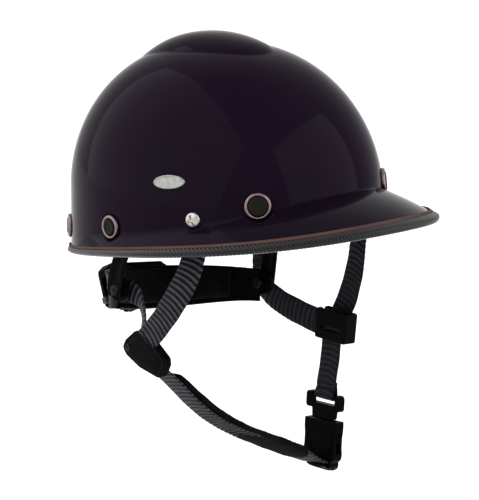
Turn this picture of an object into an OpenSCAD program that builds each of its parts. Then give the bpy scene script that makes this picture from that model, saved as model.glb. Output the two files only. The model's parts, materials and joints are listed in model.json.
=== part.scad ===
// Rescue helmet: composite shell with a raised comb and a flared brim, a
// rubber edge bead, a foam liner, a webbing suspension, a headband with a
// ratchet adjuster on a tilting nape cradle, and a chin strap with a
// side-release buckle.
// Frame: +X front, +Y wearer's left, +Z up, millimetres. The origin is on the
// head axis, level with the middle of the rim.

/* [Shell] */
// Half-length of the dome at its widest level
dome_a = 121; // [117:1:124]
// Half-width of the dome at its widest level
dome_b = 101; // [99:0.5:103]
// Height of the dome's widest level
dome_base = 30; // [26:1:34]
// Rise of the dome above its widest level
dome_rise = 107; // [102:1:110]
// Half-length of the rim
rim_a = 151; // [148:1:154]
// Half-width of the rim
rim_b = 113; // [111:1:116]
// Wall thickness of the shell
shell_t = 3.2; // [2.6:0.1:4]
// Height of the raised comb above the dome
comb_h = 7.5; // [5:0.5:10]

/* [Fasteners] */
// Diameter of the two front ring rivets
front_ring_d = 19.5; // [17:0.5:22]
// Diameter of the four side and rear ring rivets
rear_ring_d = 17.5; // [15:0.5:20]
// Shank diameter of every ring rivet
shank_d = 8; // [6:0.5:9]
// Head diameter of the strap anchor screws
screw_head_d = 11; // [9:0.5:13]

/* [Suspension] */
// Half-length of the headband loop
band_a = 97; // [92:1:100]
// Half-width of the headband loop
band_b = 77; // [73:1:79]
// Height of the headband strip
band_h = 30; // [26:1:36]
// Width of the crown webbing
web_w = 20; // [16:1:25]

/* [Straps] */
// Width of the chin strap webbing
strap_w = 19.5; // [18:0.5:20.5]
// Thickness of the chin strap webbing
strap_t = 1.8; // [1.4:0.1:2]

/* [Adjuster] */
// Diameter of the ratchet knob
knob_d = 28; // [24:1:30]
// Number of grip scallops on the knob
knob_grips = 16; // [12:1:20]
// Number of pinion teeth
pinion_teeth = 10; // [10:1:10]

/* [Hidden] */
$fn = 64;

dome_cx = -8.3;
dome_n = 2.15;
dome_ct = 0.93;
rim_cx = 17;
comb_cx = -30;
comb_a = 61;
comb_b = 34.5;

function sgnpow(v, e) = sign(v) * pow(abs(v), e);
function unit(v) = v / norm(v);
function mix(a, b, t) = a + (b - a) * t;

// ---- dome and rim surface ----
function dome_s(z) = max(0, (z - dome_base) / dome_rise);
function dome_f(z) = pow(max(0, 1 - pow(dome_s(z), 1.885)), 0.437);
function dome_x(z) = dome_cx - 1.25 * dome_s(z);
function dome_pt(a, z) = [
  dome_x(z) + dome_a * dome_f(z) * sgnpow(cos(a), dome_ct),
  dome_b * dome_f(z) * sgnpow(sin(a), dome_ct), z];
function rim_z(c) = 1 + 23.6 * c - 4 * c * c + 3 * pow(c, 3) + 3.5 * pow(c, 4);
function rim_pt(a) = [rim_cx + rim_a * cos(a), rim_b * sin(a), rim_z(cos(a))];
function rim_gap(a) = let (p = rim_pt(a), q = dome_pt(a, dome_base))
  norm([p[0] - q[0], p[1] - q[1]]);
// level at which the brim's hollow curve starts
function root_z(a) = rim_pt(a)[2] + 0.2 * rim_gap(a) + 5;
function bez(p, q, r, s, t) = pow(1 - t, 3) * p + 3 * t * pow(1 - t, 2) * q
  + 3 * t * t * (1 - t) * r + t * t * t * s;
function brim_pt(a, t) = let (
    p = dome_pt(a, root_z(a)), e = rim_pt(a), w = rim_gap(a),
    o = [e[0] - p[0], e[1] - p[1], 0])
  bez(p, [p[0], p[1], e[2] + 0.225 * w + 1] + o * 0.02,
    [p[0], p[1], e[2] + 0.24 * w] + o * 0.35, e, t);
function comb_q(p) = pow((p[0] - comb_cx) / comb_a, 2) + pow(p[1] / comb_b, 2);
function comb_up(p) = comb_h * pow(max(0, 1 - pow(comb_q(p), 1.17)), 0.84);

// surface rows run from the rim (0) up to the crown
brim_rows = 7;
dome_rows = 13;
rows = brim_rows + dome_rows;
function row_z(a, k) = let (z0 = root_z(a), t = k / dome_rows)
  z0 + (dome_base + dome_rise - z0) * pow(sin(90 * t), 1);
function surf(a, k) = k < brim_rows ? brim_pt(a, 1 - k / brim_rows)
  : let (p = dome_pt(a, row_z(a, k - brim_rows)))
    p[2] > 80 ? p + [0, 0, comb_up(p)] : p;
function surf_n(a, k) = let (
    k0 = max(0, k - 0.5), k1 = min(rows - 0.15, k + 0.5),
    du = surf_c(a, k1) - surf_c(a, k0),
    dv = surf_c(a + 1, k) - surf_c(a - 1, k))
  unit(cross(dv, du));
// continuous version of surf for slopes, without the comb's edge
function surf_c(a, k) = k < brim_rows ? brim_pt(a, 1 - k / brim_rows)
  : dome_pt(a, row_z(a, k - brim_rows));
function inset(a, k, d) = surf(a, k) - surf_n(a, k) * d;

// closed cup between two offsets of the surface, from row k0 up
module cup(d0, d1, k0, seg) {
  k1 = rows - 1;
  st = 360 / seg;
  ring = k1 - k0 + 1;
  tip = [dome_x(dome_base + dome_rise), 0, dome_base + dome_rise];
  top = tip + [0, 0, comb_up(tip)];
  pts = concat(
    [for (i = [0:seg - 1], k = [k0:k1]) inset(i * st, k, d0)],
    [for (i = [0:seg - 1], k = [k0:k1]) inset(i * st, k, d1)],
    [top - [0, 0, d0], top - [0, 0, d1]]);
  n = seg * ring;
  fo = [for (i = [0:seg - 1], k = [0:ring - 2]) let (
      a = i * ring + k, b = ((i + 1) % seg) * ring + k)
    each [[a, a + 1, b], [b, a + 1, b + 1]]];
  fi = [for (i = [0:seg - 1], k = [0:ring - 2]) let (
      a = n + i * ring + k, b = n + ((i + 1) % seg) * ring + k)
    each [[a, b, a + 1], [b, b + 1, a + 1]]];
  ft = [for (i = [0:seg - 1]) let (
      a = i * ring + ring - 1, b = ((i + 1) % seg) * ring + ring - 1)
    each [[a, 2 * n, b], [n + a, n + b, 2 * n + 1]]];
  fb = [for (i = [0:seg - 1]) let (
      a = i * ring, b = ((i + 1) % seg) * ring)
    each [[a, b, n + a], [b, n + b, n + a]]];
  polyhedron(pts, concat(fo, fi, ft, fb), 4);
}

// closed loop with a section in (out, up) coordinates along the rim
module rim_loop(section, seg) {
  m = len(section);
  st = 360 / seg;
  function up(a) = unit(cross(surf_c(a, 0) - surf_c(a, 1),
    rim_pt(a + 0.5) - rim_pt(a - 0.5)));
  function slope(a) = unit(surf_c(a, 0) - surf_c(a, 1));
  pts = [for (i = [0:seg - 1], q = section)
    let (a = i * st) rim_pt(a) + slope(a) * q[0] + up(a) * q[1]];
  f = [for (i = [0:seg - 1], j = [0:m - 1]) let (
      a = i * m, b = ((i + 1) % seg) * m, k = (j + 1) % m)
    each [[a + j, b + j, a + k], [b + j, b + k, a + k]]];
  polyhedron(pts, f, 4);
}

// flat strip of width w and thickness t along points p with face normals n
function tang(p, i) = unit(p[min(i + 1, len(p) - 1)] - p[max(i - 1, 0)]);
function curve(p, q, r, s, t) = 0.5 * (2 * q + (r - p) * t
  + (2 * p - 5 * q + 4 * r - s) * t * t
  + (3 * q - p - 3 * r + s) * t * t * t);
function smooth_path(p, n) = concat(
  [for (i = [0:len(p) - 2], j = [0:n - 1]) curve(
    p[max(i - 1, 0)], p[i], p[i + 1], p[min(i + 2, len(p) - 1)], j / n)],
  [p[len(p) - 1]]);
module strip(p, n, w, t) {
  c = len(p);
  pts = [for (i = [0:c - 1]) let (
      d = tang(p, i), u = unit(cross(d, n[i])), v = cross(u, d),
      h = (is_list(w) ? w[i] : w) / 2)
    each [p[i] + u * h + v * t / 2, p[i] - u * h + v * t / 2,
      p[i] - u * h - v * t / 2, p[i] + u * h - v * t / 2]];
  f = concat([[0, 2, 1], [0, 3, 2]],
    [for (i = [0:c - 2], j = [0:3]) let (a = 4 * i, b = a + 4, k = (j + 1) % 4)
      each [[a + j, a + k, b + j], [b + j, a + k, b + k]]],
    [[4 * c - 4, 4 * c - 3, 4 * c - 2], [4 * c - 4, 4 * c - 2, 4 * c - 1]]);
  polyhedron(pts, f, 4);
}
module smooth_strip(p, n, w, t, s = 3) {
  strip(smooth_path(p, s), smooth_path(n, s), w, t);
}

// point and outward normal of the dome wall; r is [length x, side, height z]
function wall_p(r) = let (f = dome_f(r[2]), d = abs(r[0] - dome_x(r[2])))
  [r[0], r[1] * dome_b * f
    * pow(1 - pow(d / (dome_a * f), dome_n), 1 / dome_n), r[2]];
function wall_n(r) = let (p = wall_p(r), f = dome_f(r[2]), s = dome_s(r[2]))
  unit([sgnpow(r[0] - dome_x(r[2]), dome_n - 1) / pow(dome_a * f, dome_n),
    sgnpow(p[1], dome_n - 1) / pow(dome_b * f, dome_n),
    0.824 * pow(s, 0.885) / max(0.001, 1 - pow(s, 1.885)) / dome_rise]);
// the same place moved down the wall and outward
function wall_at(r, down, out) = let (n = wall_n(r), h = norm([n[0], n[1]]))
  wall_p(r) + n * out + down * [n[0] * n[2] / h, n[1] * n[2] / h, -h];
module on_wall(r) {
  n = wall_n(r);
  translate(wall_p(r))
    rotate([0, acos(n[2]), atan2(n[1], n[0])])
      children();
}
front_rivets = [[88, -1, 38.5], [88, 1, 38.5]];
rear_rivets = [[-24, -1, 12.5], [-24, 1, 12.5], [-100, -1, -2],
  [-100, 1, -2]];
module at_each(list) {
  for (r = list)
    on_wall(r)
      children();
}
screws = [[50, -1, 27], [50, 1, 27]];

// ---- shell group ----
module shell() {
  color([0.05, 0.05, 0.06])
    difference() {
      cup(0, shell_t, 0, 72);
      at_each(concat(front_rivets, rear_rivets))
        cylinder(d = shank_d, h = 30, center = true);
      at_each(screws) {
        cylinder(d = 5.2, h = 30, center = true);
        translate([0, 0, -0.3])
          cylinder(d = screw_head_d + 0.6, h = 8);
      }
      at_each(front_rivets)
        translate([0, 0, -1])
          cylinder(d = front_ring_d + 0.6, h = 8);
      at_each(rear_rivets)
        translate([0, 0, -1])
          cylinder(d = rear_ring_d + 0.6, h = 8);
    }
}
module rim_bead() {
  color([0.12, 0.12, 0.13])
    rim_loop([[-4.5, 0.2], [0.4, 0.2], [0.4, -shell_t - 0.2],
      [-4.5, -shell_t - 0.2], [-4.5, -shell_t - 1.3], [1.3, -shell_t - 1.3],
      [2.6, -shell_t / 2 - 1], [2.6, -shell_t / 2 + 1], [1.3, 1.4],
      [-4.5, 1.4]], 72);
}
module rim_piping() {
  color([0.6, 0.45, 0.42])
    rim_loop([[-8.2, 1], [-4.8, 0.4], [-4.8, 1.5], [-8.2, 2.1]], 72);
}
module side_badges() {
  color([0.4, 0.4, 0.39])
    for (s = [-1, 1])
      on_wall([30.5, s, 52])
        translate([0, 0, 0.9])
          rotate([0, 0, 90 - 6 * s])
            linear_extrude(1.4)
              intersection() {
                translate([0, -12.6])
                  circle(r = 17.6);
                translate([0, 12.6])
                  circle(r = 17.6);
              }
}
module ring_rivet(d) {
  difference() {
    union() {
      translate([0, 0, -0.9])
        cylinder(d = d, h = 3.1);
      translate([0, 0, -8.9])
        cylinder(d = shank_d - 0.1, h = 8.5);
    }
    translate([0, 0, 0.9])
      cylinder(d = d - 5, h = 3);
    translate([0, 0, -10])
      cylinder(d = 4, h = 20);
  }
}
module rivet_cap(d) {
  translate([0, 0, 0.9])
    rotate_extrude()
      polygon([[0, 0], [(d - 5.6) / 2, 0], [(d - 5.6) / 2, 1.8],
        [(d - 8) / 2, 2.9], [0, 3.5]]);
  translate([0, 0, -5])
    cylinder(d = 3.8, h = 6);
}
module front_ring_rivets() {
  color([0.6, 0.52, 0.55])
    at_each(front_rivets)
      ring_rivet(front_ring_d);
}
module front_rivet_caps() {
  color([0.08, 0.08, 0.07])
    at_each(front_rivets)
      rivet_cap(front_ring_d);
}
module rear_ring_rivets() {
  color([0.6, 0.52, 0.55])
    at_each(rear_rivets)
      ring_rivet(rear_ring_d);
}
module rear_rivet_caps() {
  color([0.08, 0.08, 0.07])
    at_each(rear_rivets)
      rivet_cap(rear_ring_d);
}
module rivet_washers() {
  color("silver")
    for (r = concat(front_rivets, rear_rivets))
      on_wall(r)
        translate([0, 0, r == rear_rivets[1] ? -8.2 : -5.4])
          difference() {
            cylinder(d = 14, h = 1.6);
            translate([0, 0, -1])
              cylinder(d = shank_d, h = 4);
          }
}
module anchor_screws() {
  color("silver")
    at_each(screws) {
      difference() {
        translate([0, 0, -0.2])
          rotate_extrude()
            polygon([[0, 0], [screw_head_d / 2, 0], [screw_head_d / 2, 0.9],
              [screw_head_d / 2 - 1.4, 2], [0, 2.2]]);
        translate([0, 0, 0.6])
          cylinder(r = 2.3, h = 3, $fn = 6);
      }
      translate([0, 0, -9.6])
        cylinder(d = 5, h = 9.5);
    }
}
module strap_anchors() {
  color([0.1, 0.1, 0.1])
    at_each(screws)
      difference() {
        translate([-8, -11.5, -9])
          cube([20, 23, 2.4]);
        translate([0, 0, -10])
          cylinder(d = 5.2, h = 5);
      }
}

// ---- liner and suspension ----
module impact_liner() {
  color([0.2, 0.2, 0.2])
    difference() {
      cup(shell_t + 0.5, shell_t + 11, brim_rows + 2, 48);
      at_each(front_rivets)
        translate([0, 0, -20])
          cylinder(d = 16, h = 20);
      at_each(screws)
        translate([-16, -16, -22])
          cube([46, 32, 22]);
    }
}
function loop_pt(a, z, g = 0) = [(band_a + g) * cos(a), (band_b + g) * sin(a),
  z + 0.12 * band_a * cos(a)];
module crown_band(a0, top, base_z) {
  n = 22;
  r0 = loop_pt(a0, base_z, -2);
  pts = [for (i = [0:n]) let (t = -90 + 180 * i / n, c = sgnpow(sin(t), 0.9))
    [r0[0] * c * 0.95, r0[1] * c * 0.95,
      mix(base_z + 0.12 * r0[0] * sign(sin(t)) * 0.95, top,
        pow(cos(t), 0.8))]];
  nrm = [for (p = pts) unit([p[0], p[1], (p[2] - base_z) * 0.9 + 2])];
  strip(pts, nrm, web_w, 1.2);
}
module crown_webbing() {
  color([0.15, 0.15, 0.16]) {
    crown_band(30, 112, 35);
    crown_band(90, 110.4, 35);
    crown_band(150, 108.8, 35);
  }
}
module crown_pad() {
  color([0.1, 0.1, 0.1])
    translate([0, 0, 98.2])
      rotate_extrude()
        polygon([[0, 0], [30, 0], [33, 1.5], [33, 4], [30, 5], [0, 6.4]]);
}
module headband() {
  color([0.12, 0.12, 0.13]) {
    pts = [for (a = [-156:6:156]) loop_pt(a, 16)];
    nrm = [for (a = [-156:6:156]) unit([cos(a) / band_a, sin(a) / band_b, 0])];
    strip(pts, nrm, band_h, 1.8);
  }
}
module brow_pad() {
  color([0.1, 0.1, 0.1]) {
    pts = [for (a = [-66:6:66]) loop_pt(a, 13, -3.6)];
    nrm = [for (a = [-66:6:66]) unit([cos(a) / band_a, sin(a) / band_b, 0])];
    strip(pts, nrm, 31, 4.6);
  }
}
module hanger_clips() {
  color([0.08, 0.08, 0.08])
    for (a = [-150, -90, -30, 30, 90, 150])
      translate(loop_pt(a, 24, 2.1))
        rotate([0, 0, atan2(sin(a) / band_b, cos(a) / band_a)]) {
          translate([-0.6, -9, -9])
            cube([2.4, 18, 18.8]);
          translate([-9, -9, 8.4])
            cube([10.8, 18, 1.4]);
        }
}

// ---- nape cradle and ratchet ----
cradle_cx = -32;
cradle_a = 62;
cradle_b = 75;
cradle_roll = 7;
cradle_lean = 25;
pin_x = -43;
pin_z = -50;
// the cradle hangs lower on the buckle side
module hang() {
  translate([0, 0, pin_z])
    rotate([-cradle_roll, 0, 0])
      translate([0, 0, -pin_z])
        children();
}
module at_ratchet() {
  hang()
    translate([-96, 0, -59])
      rotate([0, -cradle_lean, 0])
        children();
}
function cradle_pt(a, dz, g = 0) = [cradle_cx - (cradle_a + g) * cos(a),
  (cradle_b + g) * sin(a), -59 + 7 * pow(sin(a), 2) + dz];
function cradle_n(a) = unit([-cos(a) / cradle_a, sin(a) / cradle_b,
  -0.0075 * pow(cos(a), 2)]);
function cradle_w(a, w) = w * (1 - 0.28 * pow(sin(a), 2));
module side_arm(s) {
  z = pin_z - 75.2 * s * sin(cradle_roll);
  smooth_strip([[-18, 79.6 * s, 18], [-24, 79.6 * s, 4],
    [-36, 79.3 * s, -14], [pin_x, 78.6 * s, z + 6]],
    [for (i = [0:3]) [0, s, 0]], 15, 2.2);
  translate([-19, 77 * s, 14])
    rotate([-90 * s, 0, 0])
      cylinder(d = 6, h = 2.4);
}
module side_arms() {
  color([0.07, 0.07, 0.08])
    for (s = [-1, 1]) {
      side_arm(s);
      hang()
        translate([pin_x, 78.6 * s, pin_z])
          rotate([90, 0, 0])
            difference() {
              cylinder(d = 17, h = 2.2, center = true);
              cylinder(d = 5.1, h = 5, center = true);
            }
    }
}
module cradle_pins() {
  color("silver")
    hang()
      for (s = [-1, 1])
        translate([pin_x, 0, pin_z])
          rotate([-90 * s, 0, 0]) {
            translate([0, 0, 67.4])
              cylinder(d = 5, h = 12.8);
            translate([0, 0, 80])
              cylinder(d = 8, h = 1);
            translate([0, 0, 66.6])
              cylinder(d = 8, h = 1);
          }
}
module nape_cradle() {
  color([0.05, 0.05, 0.055])
    hang()
      difference() {
        union() {
          strip([for (a = [-78:4:78]) cradle_pt(a, 0)],
            [for (a = [-78:4:78]) cradle_n(a)],
            [for (a = [-78:4:78]) cradle_w(a, 33)], 2.4);
          for (s = [-1, 1])
            translate([pin_x, 75.2 * s, pin_z])
              rotate([90, 0, 0])
                cylinder(d = 18, h = 3, center = true);
        }
        for (s = [-1, 1])
          translate([pin_x, 75 * s, pin_z])
            rotate([90, 0, 0])
              cylinder(d = 5.1, h = 12, center = true);
        for (a = [-50, 50])
          translate(cradle_pt(a, 7))
            rotate([0, 90, -a])
              cylinder(d = 8, h = 12, center = true);
      }
}
module nape_pad() {
  color([0.03, 0.03, 0.03])
    hang()
      strip([for (a = [-62:4:62]) cradle_pt(a, 1.6, -5)],
        [for (a = [-62:4:62]) cradle_n(a)],
        [for (a = [-62:4:62]) cradle_w(a, 29)], 6.6);
}
module ratchet_housing() {
  color([0.05, 0.05, 0.055])
    at_ratchet()
      difference() {
        translate([-11, -32, -13])
          cube([10.2, 64, 33]);
        translate([-8, -40, -10])
          cube([5, 80, 20]);
        translate([-14, 0, 0])
          rotate([0, 90, 0])
            cylinder(d = 7, h = 10);
      }
}
module ratchet_cover() {
  color([0.06, 0.06, 0.065])
    at_ratchet()
      difference() {
        translate([-13.2, -30, -12])
          cube([2, 60, 31]);
        translate([-16, 0, 0])
          rotate([0, 90, 0])
            cylinder(d = 7.2, h = 8);
      }
}
module rack_strip(y0, y1, up) {
  at_ratchet()
    difference() {
      translate([-7.4, y0, up > 0 ? 5.1 : -9.6])
        cube([3.8, y1 - y0, 4.5]);
      for (k = [-7:7])
        translate([-9, 3.7699 * k, 0])
          rotate([90, 0, 90])
            linear_extrude(8)
              polygon([[-1.6, up * 4], [1.6, up * 4], [1.25, up * 6],
                [0.7, up * 7.5], [-0.7, up * 7.5], [-1.25, up * 6]]);
    }
}
module left_rack() {
  color("dimgray")
    rack_strip(-17, 37, 1);
}
module right_rack() {
  color("gray")
    rack_strip(-37, 17, -1);
}
module ratchet_pinion() {
  color("silver")
    at_ratchet()
      translate([-7.4, 0, 0])
        rotate([90, 0, 90])
          difference() {
            union() {
              cylinder(r = 4.6, h = 3.8);
              for (i = [0:pinion_teeth - 1])
                rotate([0, 0, 90 + i * 360 / pinion_teeth])
                  linear_extrude(3.8)
                    polygon([[4, -1.1], [5.6, -0.8], [6.9, -0.35],
                      [6.9, 0.35], [5.6, 0.8], [4, 1.1]]);
              translate([0, 0, -6.2])
                cylinder(d = 6.9, h = 6.4);
            }
            translate([0, 0, -8])
              cylinder(d = 2.6, h = 14);
          }
}
module ratchet_knob() {
  color([0.09, 0.09, 0.1])
    at_ratchet()
      translate([-13.6, 0, 0])
        rotate([0, -90, 0])
          difference() {
            rotate_extrude()
              polygon([[0, 0.2], [knob_d / 2, 0.2], [knob_d / 2, 7],
                [knob_d / 2 - 1.5, 8.6], [0, 8.6]]);
            for (i = [0:knob_grips - 1])
              rotate([0, 0, i * 360 / knob_grips])
                translate([knob_d / 2 + 0.6, 0, -1])
                  cylinder(r = 1.6, h = 12, $fn = 24);
            translate([0, 0, -1])
              cylinder(d = 2.6, h = 12);
            translate([0, 0, 6.6])
              cylinder(d = 6, h = 4);
          }
}
module knob_screw() {
  color("silver")
    at_ratchet()
      rotate([0, -90, 0]) {
        translate([0, 0, 4])
          cylinder(d = 2.5, h = 16.2);
        translate([0, 0, 20.2])
          cylinder(d = 5.4, h = 1.6);
      }
}

// ---- straps ----
jl = [21.2, 88, -83];
module front_right(w, t) {
  r = screws[0];
  n = wall_n(r);
  smooth_strip([wall_at(r, -7, -5.4), wall_at(r, 10, -5.4),
    [47, -86.4, 2], [43, -88.6, -14], [33, -90.5, -32], [16, -91.3, -54],
    [0, -90.9, -70], [-6, -90.6, -77]],
    [n, n, [0.25, -1, 0.1], [0.25, -1, 0.1], [0.2, -1, 0],
      [0.1, -1, 0], [0, -1, 0], [0, -1, 0]], w, t);
}
module rear_right(w, t) {
  smooth_strip([[-47.8, -68.6, -41.3], [-38, -68.8, -41.8],
    [-28, -69.2, -46], [-20, -72.4, -55], [-14.5, -78, -64],
    [-11, -84.6, -73], [-9.5, -85.7, -78]],
    [[0, -1, 0.12], [0, -1, 0.12], [-0.6, -0.9, 0.1], [-0.7, -0.8, 0.1],
      [-0.5, -0.9, 0.1], [0, -1, 0], [0, -1, 0]], w, t);
}
module right_front_strap() {
  color([0.16, 0.16, 0.17])
    difference() {
      front_right(strap_w, strap_t);
      on_wall(screws[0])
        cylinder(d = 5.4, h = 30, center = true);
    }
}
module right_rear_strap() {
  color([0.14, 0.14, 0.15])
    difference() {
      rear_right(strap_w * 0.8, strap_t);
      hang()
        translate([pin_x, -70, pin_z])
          rotate([90, 0, 0])
            cylinder(d = 5.4, h = 12, center = true);
    }
}
module right_junction() {
  color([0.05, 0.05, 0.05])
    difference() {
      translate([0, -83.4, 0])
        rotate([90, 0, 0])
          linear_extrude(9.6)
            polygon([[-22, -77], [-19, -71], [-8, -62], [8, -69],
              [21, -79], [21.5, -84], [16.5, -94], [-4.5, -89], [-18, -82]]);
      front_right(strap_w + 0.8, strap_t + 0.7);
      rear_right(strap_w * 0.8 + 0.8, strap_t + 0.7);
      smooth_strip([for (i = [0:4]) chin_path[i]],
        [for (i = [0:4]) chin_nrm[i]], strap_w + 0.8, strap_t + 0.7);
    }
}
module junction_rivet() {
  color("silver")
    translate([-14.6, -93.05, -76])
      rotate([90, 0, 0])
        cylinder(d = 5, h = 1.2);
}
module left_front_strap() {
  r = screws[1];
  n = wall_n(r);
  color([0.14, 0.14, 0.15])
    difference() {
      smooth_strip([wall_at(r, -7, -5.4), wall_at(r, 10, -5.4),
        [46, 86.4, 2], [41, 88.4, -18], [37, 89.6, -38],
        [29.9, 90.2, -60], [22.8, 89.6, -76], [21.4, 88.8, -88]],
        [n, n, [0.25, 1, 0.1], [0.2, 1, 0], [0.1, 1, 0],
          [0, 1, 0], [0, 1, -0.07], [0, 1, -0.07]], strap_w, strap_t);
      on_wall(r)
        cylinder(d = 5.4, h = 30, center = true);
    }
}
module left_rear_strap() {
  r = rear_rivets[1];
  n = wall_n(r);
  color([0.13, 0.13, 0.14])
    difference() {
      smooth_strip([wall_at(r, -10, -5.5) + [2, 0, 0],
        wall_at(r, 9, -5.5) - [2, 0, 0], [-40, 87.4, -18],
        [-55, 85.6, -42], [-51, 84, -64], [-36, 85, -74],
        [-14, 86, -80], [4, 86.6, -83.5], [14, 86.7, -84.5]],
        [n, n, [-0.2, 1, 0.1], [-0.1, 1, 0], [0, 1, 0],
          [0, 1, 0], [0, 1, -0.07], [0, 1, -0.07], [0, 1, -0.07]],
        strap_w, strap_t);
      on_wall(r)
        cylinder(d = shank_d + 0.4, h = 30, center = true);
    }
}
module left_slider() {
  color([0.05, 0.05, 0.05])
    translate(jl)
      rotate([-bk_lean, 0, 0])
        rotate([0, 3, 0])
          difference() {
            translate([-15.6, -7.4, -12])
              cube([31.2, 11.4, 23]);
            translate([-13.4, -6.2, -20])
              cube([26.8, 9, 40]);
            translate([-20, -3.4, -20])
              cube([12, 4.2, 40]);
          }
}
// buckle frame: local z up along the buckle, x across its width
bk = [17.5, 79, -142];
bk_lean = 4;
module at_buckle() {
  translate(bk)
    rotate([-bk_lean, 0, 0])
      children();
}
module left_lower_strap() {
  color([0.14, 0.14, 0.15])
    at_buckle()
      strip([[0, 0, 3], [0, 0, 14], [2.6, 0, 38], [3, 0, 64]],
        [for (i = [0:3]) [0, 1, 0]], strap_w, strap_t);
}
module buckle_plug() {
  color([0.02, 0.02, 0.02])
    at_buckle() {
      difference() {
        translate([-17, -3, -5])
          cube([34, 6, 12]);
        translate([-12, -4, -0.8])
          cube([24, 8, 5.2]);
        translate([-10.1, -1.3, 0.6])
          cube([20.2, 2.6, 8]);
      }
      translate([-11, -2.6, -12])
        cube([22, 5.2, 7.1]);
      translate([-2, -1.6, -32])
        cube([4, 3.2, 20.1]);
    }
}
module prong(s) {
  at_buckle() {
    translate([s > 0 ? 6.8 : -10.2, -1.6, -31])
      cube([3.4, 3.2, 17.4]);
    translate([0, 1.6, 0])
      rotate([90, 0, 0])
        linear_extrude(3.2)
          polygon([[s * 10.1, -34], [s * 7.2, -36], [s * 6.8, -31],
            [s * 6.8, -22], [s * 13.6, -22.6], [s * 15.4, -25],
            [s * 14.6, -29]]);
    translate([s * 8.5, 0, -13.8])
      rotate([90, 0, 0])
        cylinder(d = 3.4, h = 3.2, center = true);
  }
}
module front_prong() {
  color([0.03, 0.03, 0.03])
    prong(1);
}
module rear_prong() {
  color([0.03, 0.03, 0.03])
    prong(-1);
}
module buckle_socket() {
  color([0.02, 0.02, 0.02])
    at_buckle()
      difference() {
        union() {
          translate([-16, -4.4, -41])
            cube([32, 8.8, 28.3]);
          translate([-12, -4.4, -48.5])
            cube([24, 8.8, 7.6]);
        }
        translate([-12.6, -2.1, -39])
          cube([25.2, 4.2, 30]);
        translate([-20, -2.1, -37])
          cube([40, 4.2, 15.6]);
        translate([-10.4, -6, -46.4])
          cube([20.8, 12, 3.6]);
      }
}
chin_path = [[-8, -88, -79], [-6, -80.5, -87], [-1, -65, -102],
  [4, -46.5, -122], [7.5, -28, -137.5], [10.5, -4, -151.5],
  [13.5, 26, -165], [15.5, 48, -175], [17, 65, -184], [17.4, 72, -186.2],
  [17.5, 80, -187]];
chin_nrm = [[0.1, -1, -0.5], [0.1, -1, -0.8], [0.1, -1, -0.9],
  [0.15, -1, -1], [0.25, -0.8, -1], [0.35, -0.45, -1],
  [0.45, -0.35, -1], [0.42, -0.35, -1], [0.2, -0.3, -1], [0, -0.2, -1], [0, -0.1, -1]];
module chin_strap() {
  color([0.17, 0.17, 0.18])
    smooth_strip(chin_path, chin_nrm, strap_w, strap_t);
}
module chin_pad() {
  color([0.03, 0.03, 0.03])
    smooth_strip([for (i = [2:7]) chin_path[i] - unit(chin_nrm[i]) * 3.9],
      [for (i = [2:7]) chin_nrm[i]], strap_w + 4, 5);
}

shell();
rim_bead();
rim_piping();
side_badges();
front_ring_rivets();
front_rivet_caps();
rear_ring_rivets();
rear_rivet_caps();
rivet_washers();
anchor_screws();
strap_anchors();
impact_liner();
crown_webbing();
crown_pad();
headband();
brow_pad();
hanger_clips();
side_arms();
cradle_pins();
nape_cradle();
nape_pad();
ratchet_housing();
ratchet_cover();
left_rack();
right_rack();
ratchet_pinion();
ratchet_knob();
knob_screw();
right_front_strap();
right_rear_strap();
right_junction();
junction_rivet();
left_front_strap();
left_rear_strap();
left_slider();
left_lower_strap();
buckle_plug();
front_prong();
rear_prong();
buckle_socket();
chin_strap();
chin_pad();
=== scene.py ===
"""Looks for the rescue helmet: gloss shell, ribbed edge bead, webbing, pads,
cradle and buckle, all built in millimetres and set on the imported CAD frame."""

import json
import math

import bmesh
import bpy
import numpy as np
from mathutils import Matrix, Vector


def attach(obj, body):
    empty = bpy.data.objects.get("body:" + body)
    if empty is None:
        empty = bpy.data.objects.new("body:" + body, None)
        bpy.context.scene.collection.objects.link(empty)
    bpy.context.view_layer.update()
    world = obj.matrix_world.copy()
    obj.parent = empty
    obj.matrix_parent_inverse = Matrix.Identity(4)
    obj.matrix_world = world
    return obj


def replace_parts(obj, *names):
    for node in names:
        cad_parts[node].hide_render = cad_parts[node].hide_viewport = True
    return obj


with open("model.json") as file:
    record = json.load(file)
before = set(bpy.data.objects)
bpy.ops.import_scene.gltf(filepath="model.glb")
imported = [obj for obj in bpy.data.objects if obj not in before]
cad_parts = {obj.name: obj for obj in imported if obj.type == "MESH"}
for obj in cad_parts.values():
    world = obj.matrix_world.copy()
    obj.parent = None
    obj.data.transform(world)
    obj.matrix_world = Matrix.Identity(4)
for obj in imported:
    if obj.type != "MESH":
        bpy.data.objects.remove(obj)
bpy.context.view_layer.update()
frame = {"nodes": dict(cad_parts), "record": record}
NODES = frame["nodes"]
MM = 0.001


# ------------------------------------------------------------ helpers
def arr(v):
    return np.array(v, float)


def unit(v):
    v = np.asarray(v, float)
    n = np.linalg.norm(v, axis=-1, keepdims=True)
    return v / np.where(n < 1e-12, 1, n)


def smooth(t, a=0.0, b=1.0):
    t = np.clip((np.asarray(t, float) - a) / (b - a), 0, 1)
    return t * t * (3 - 2 * t)


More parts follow.
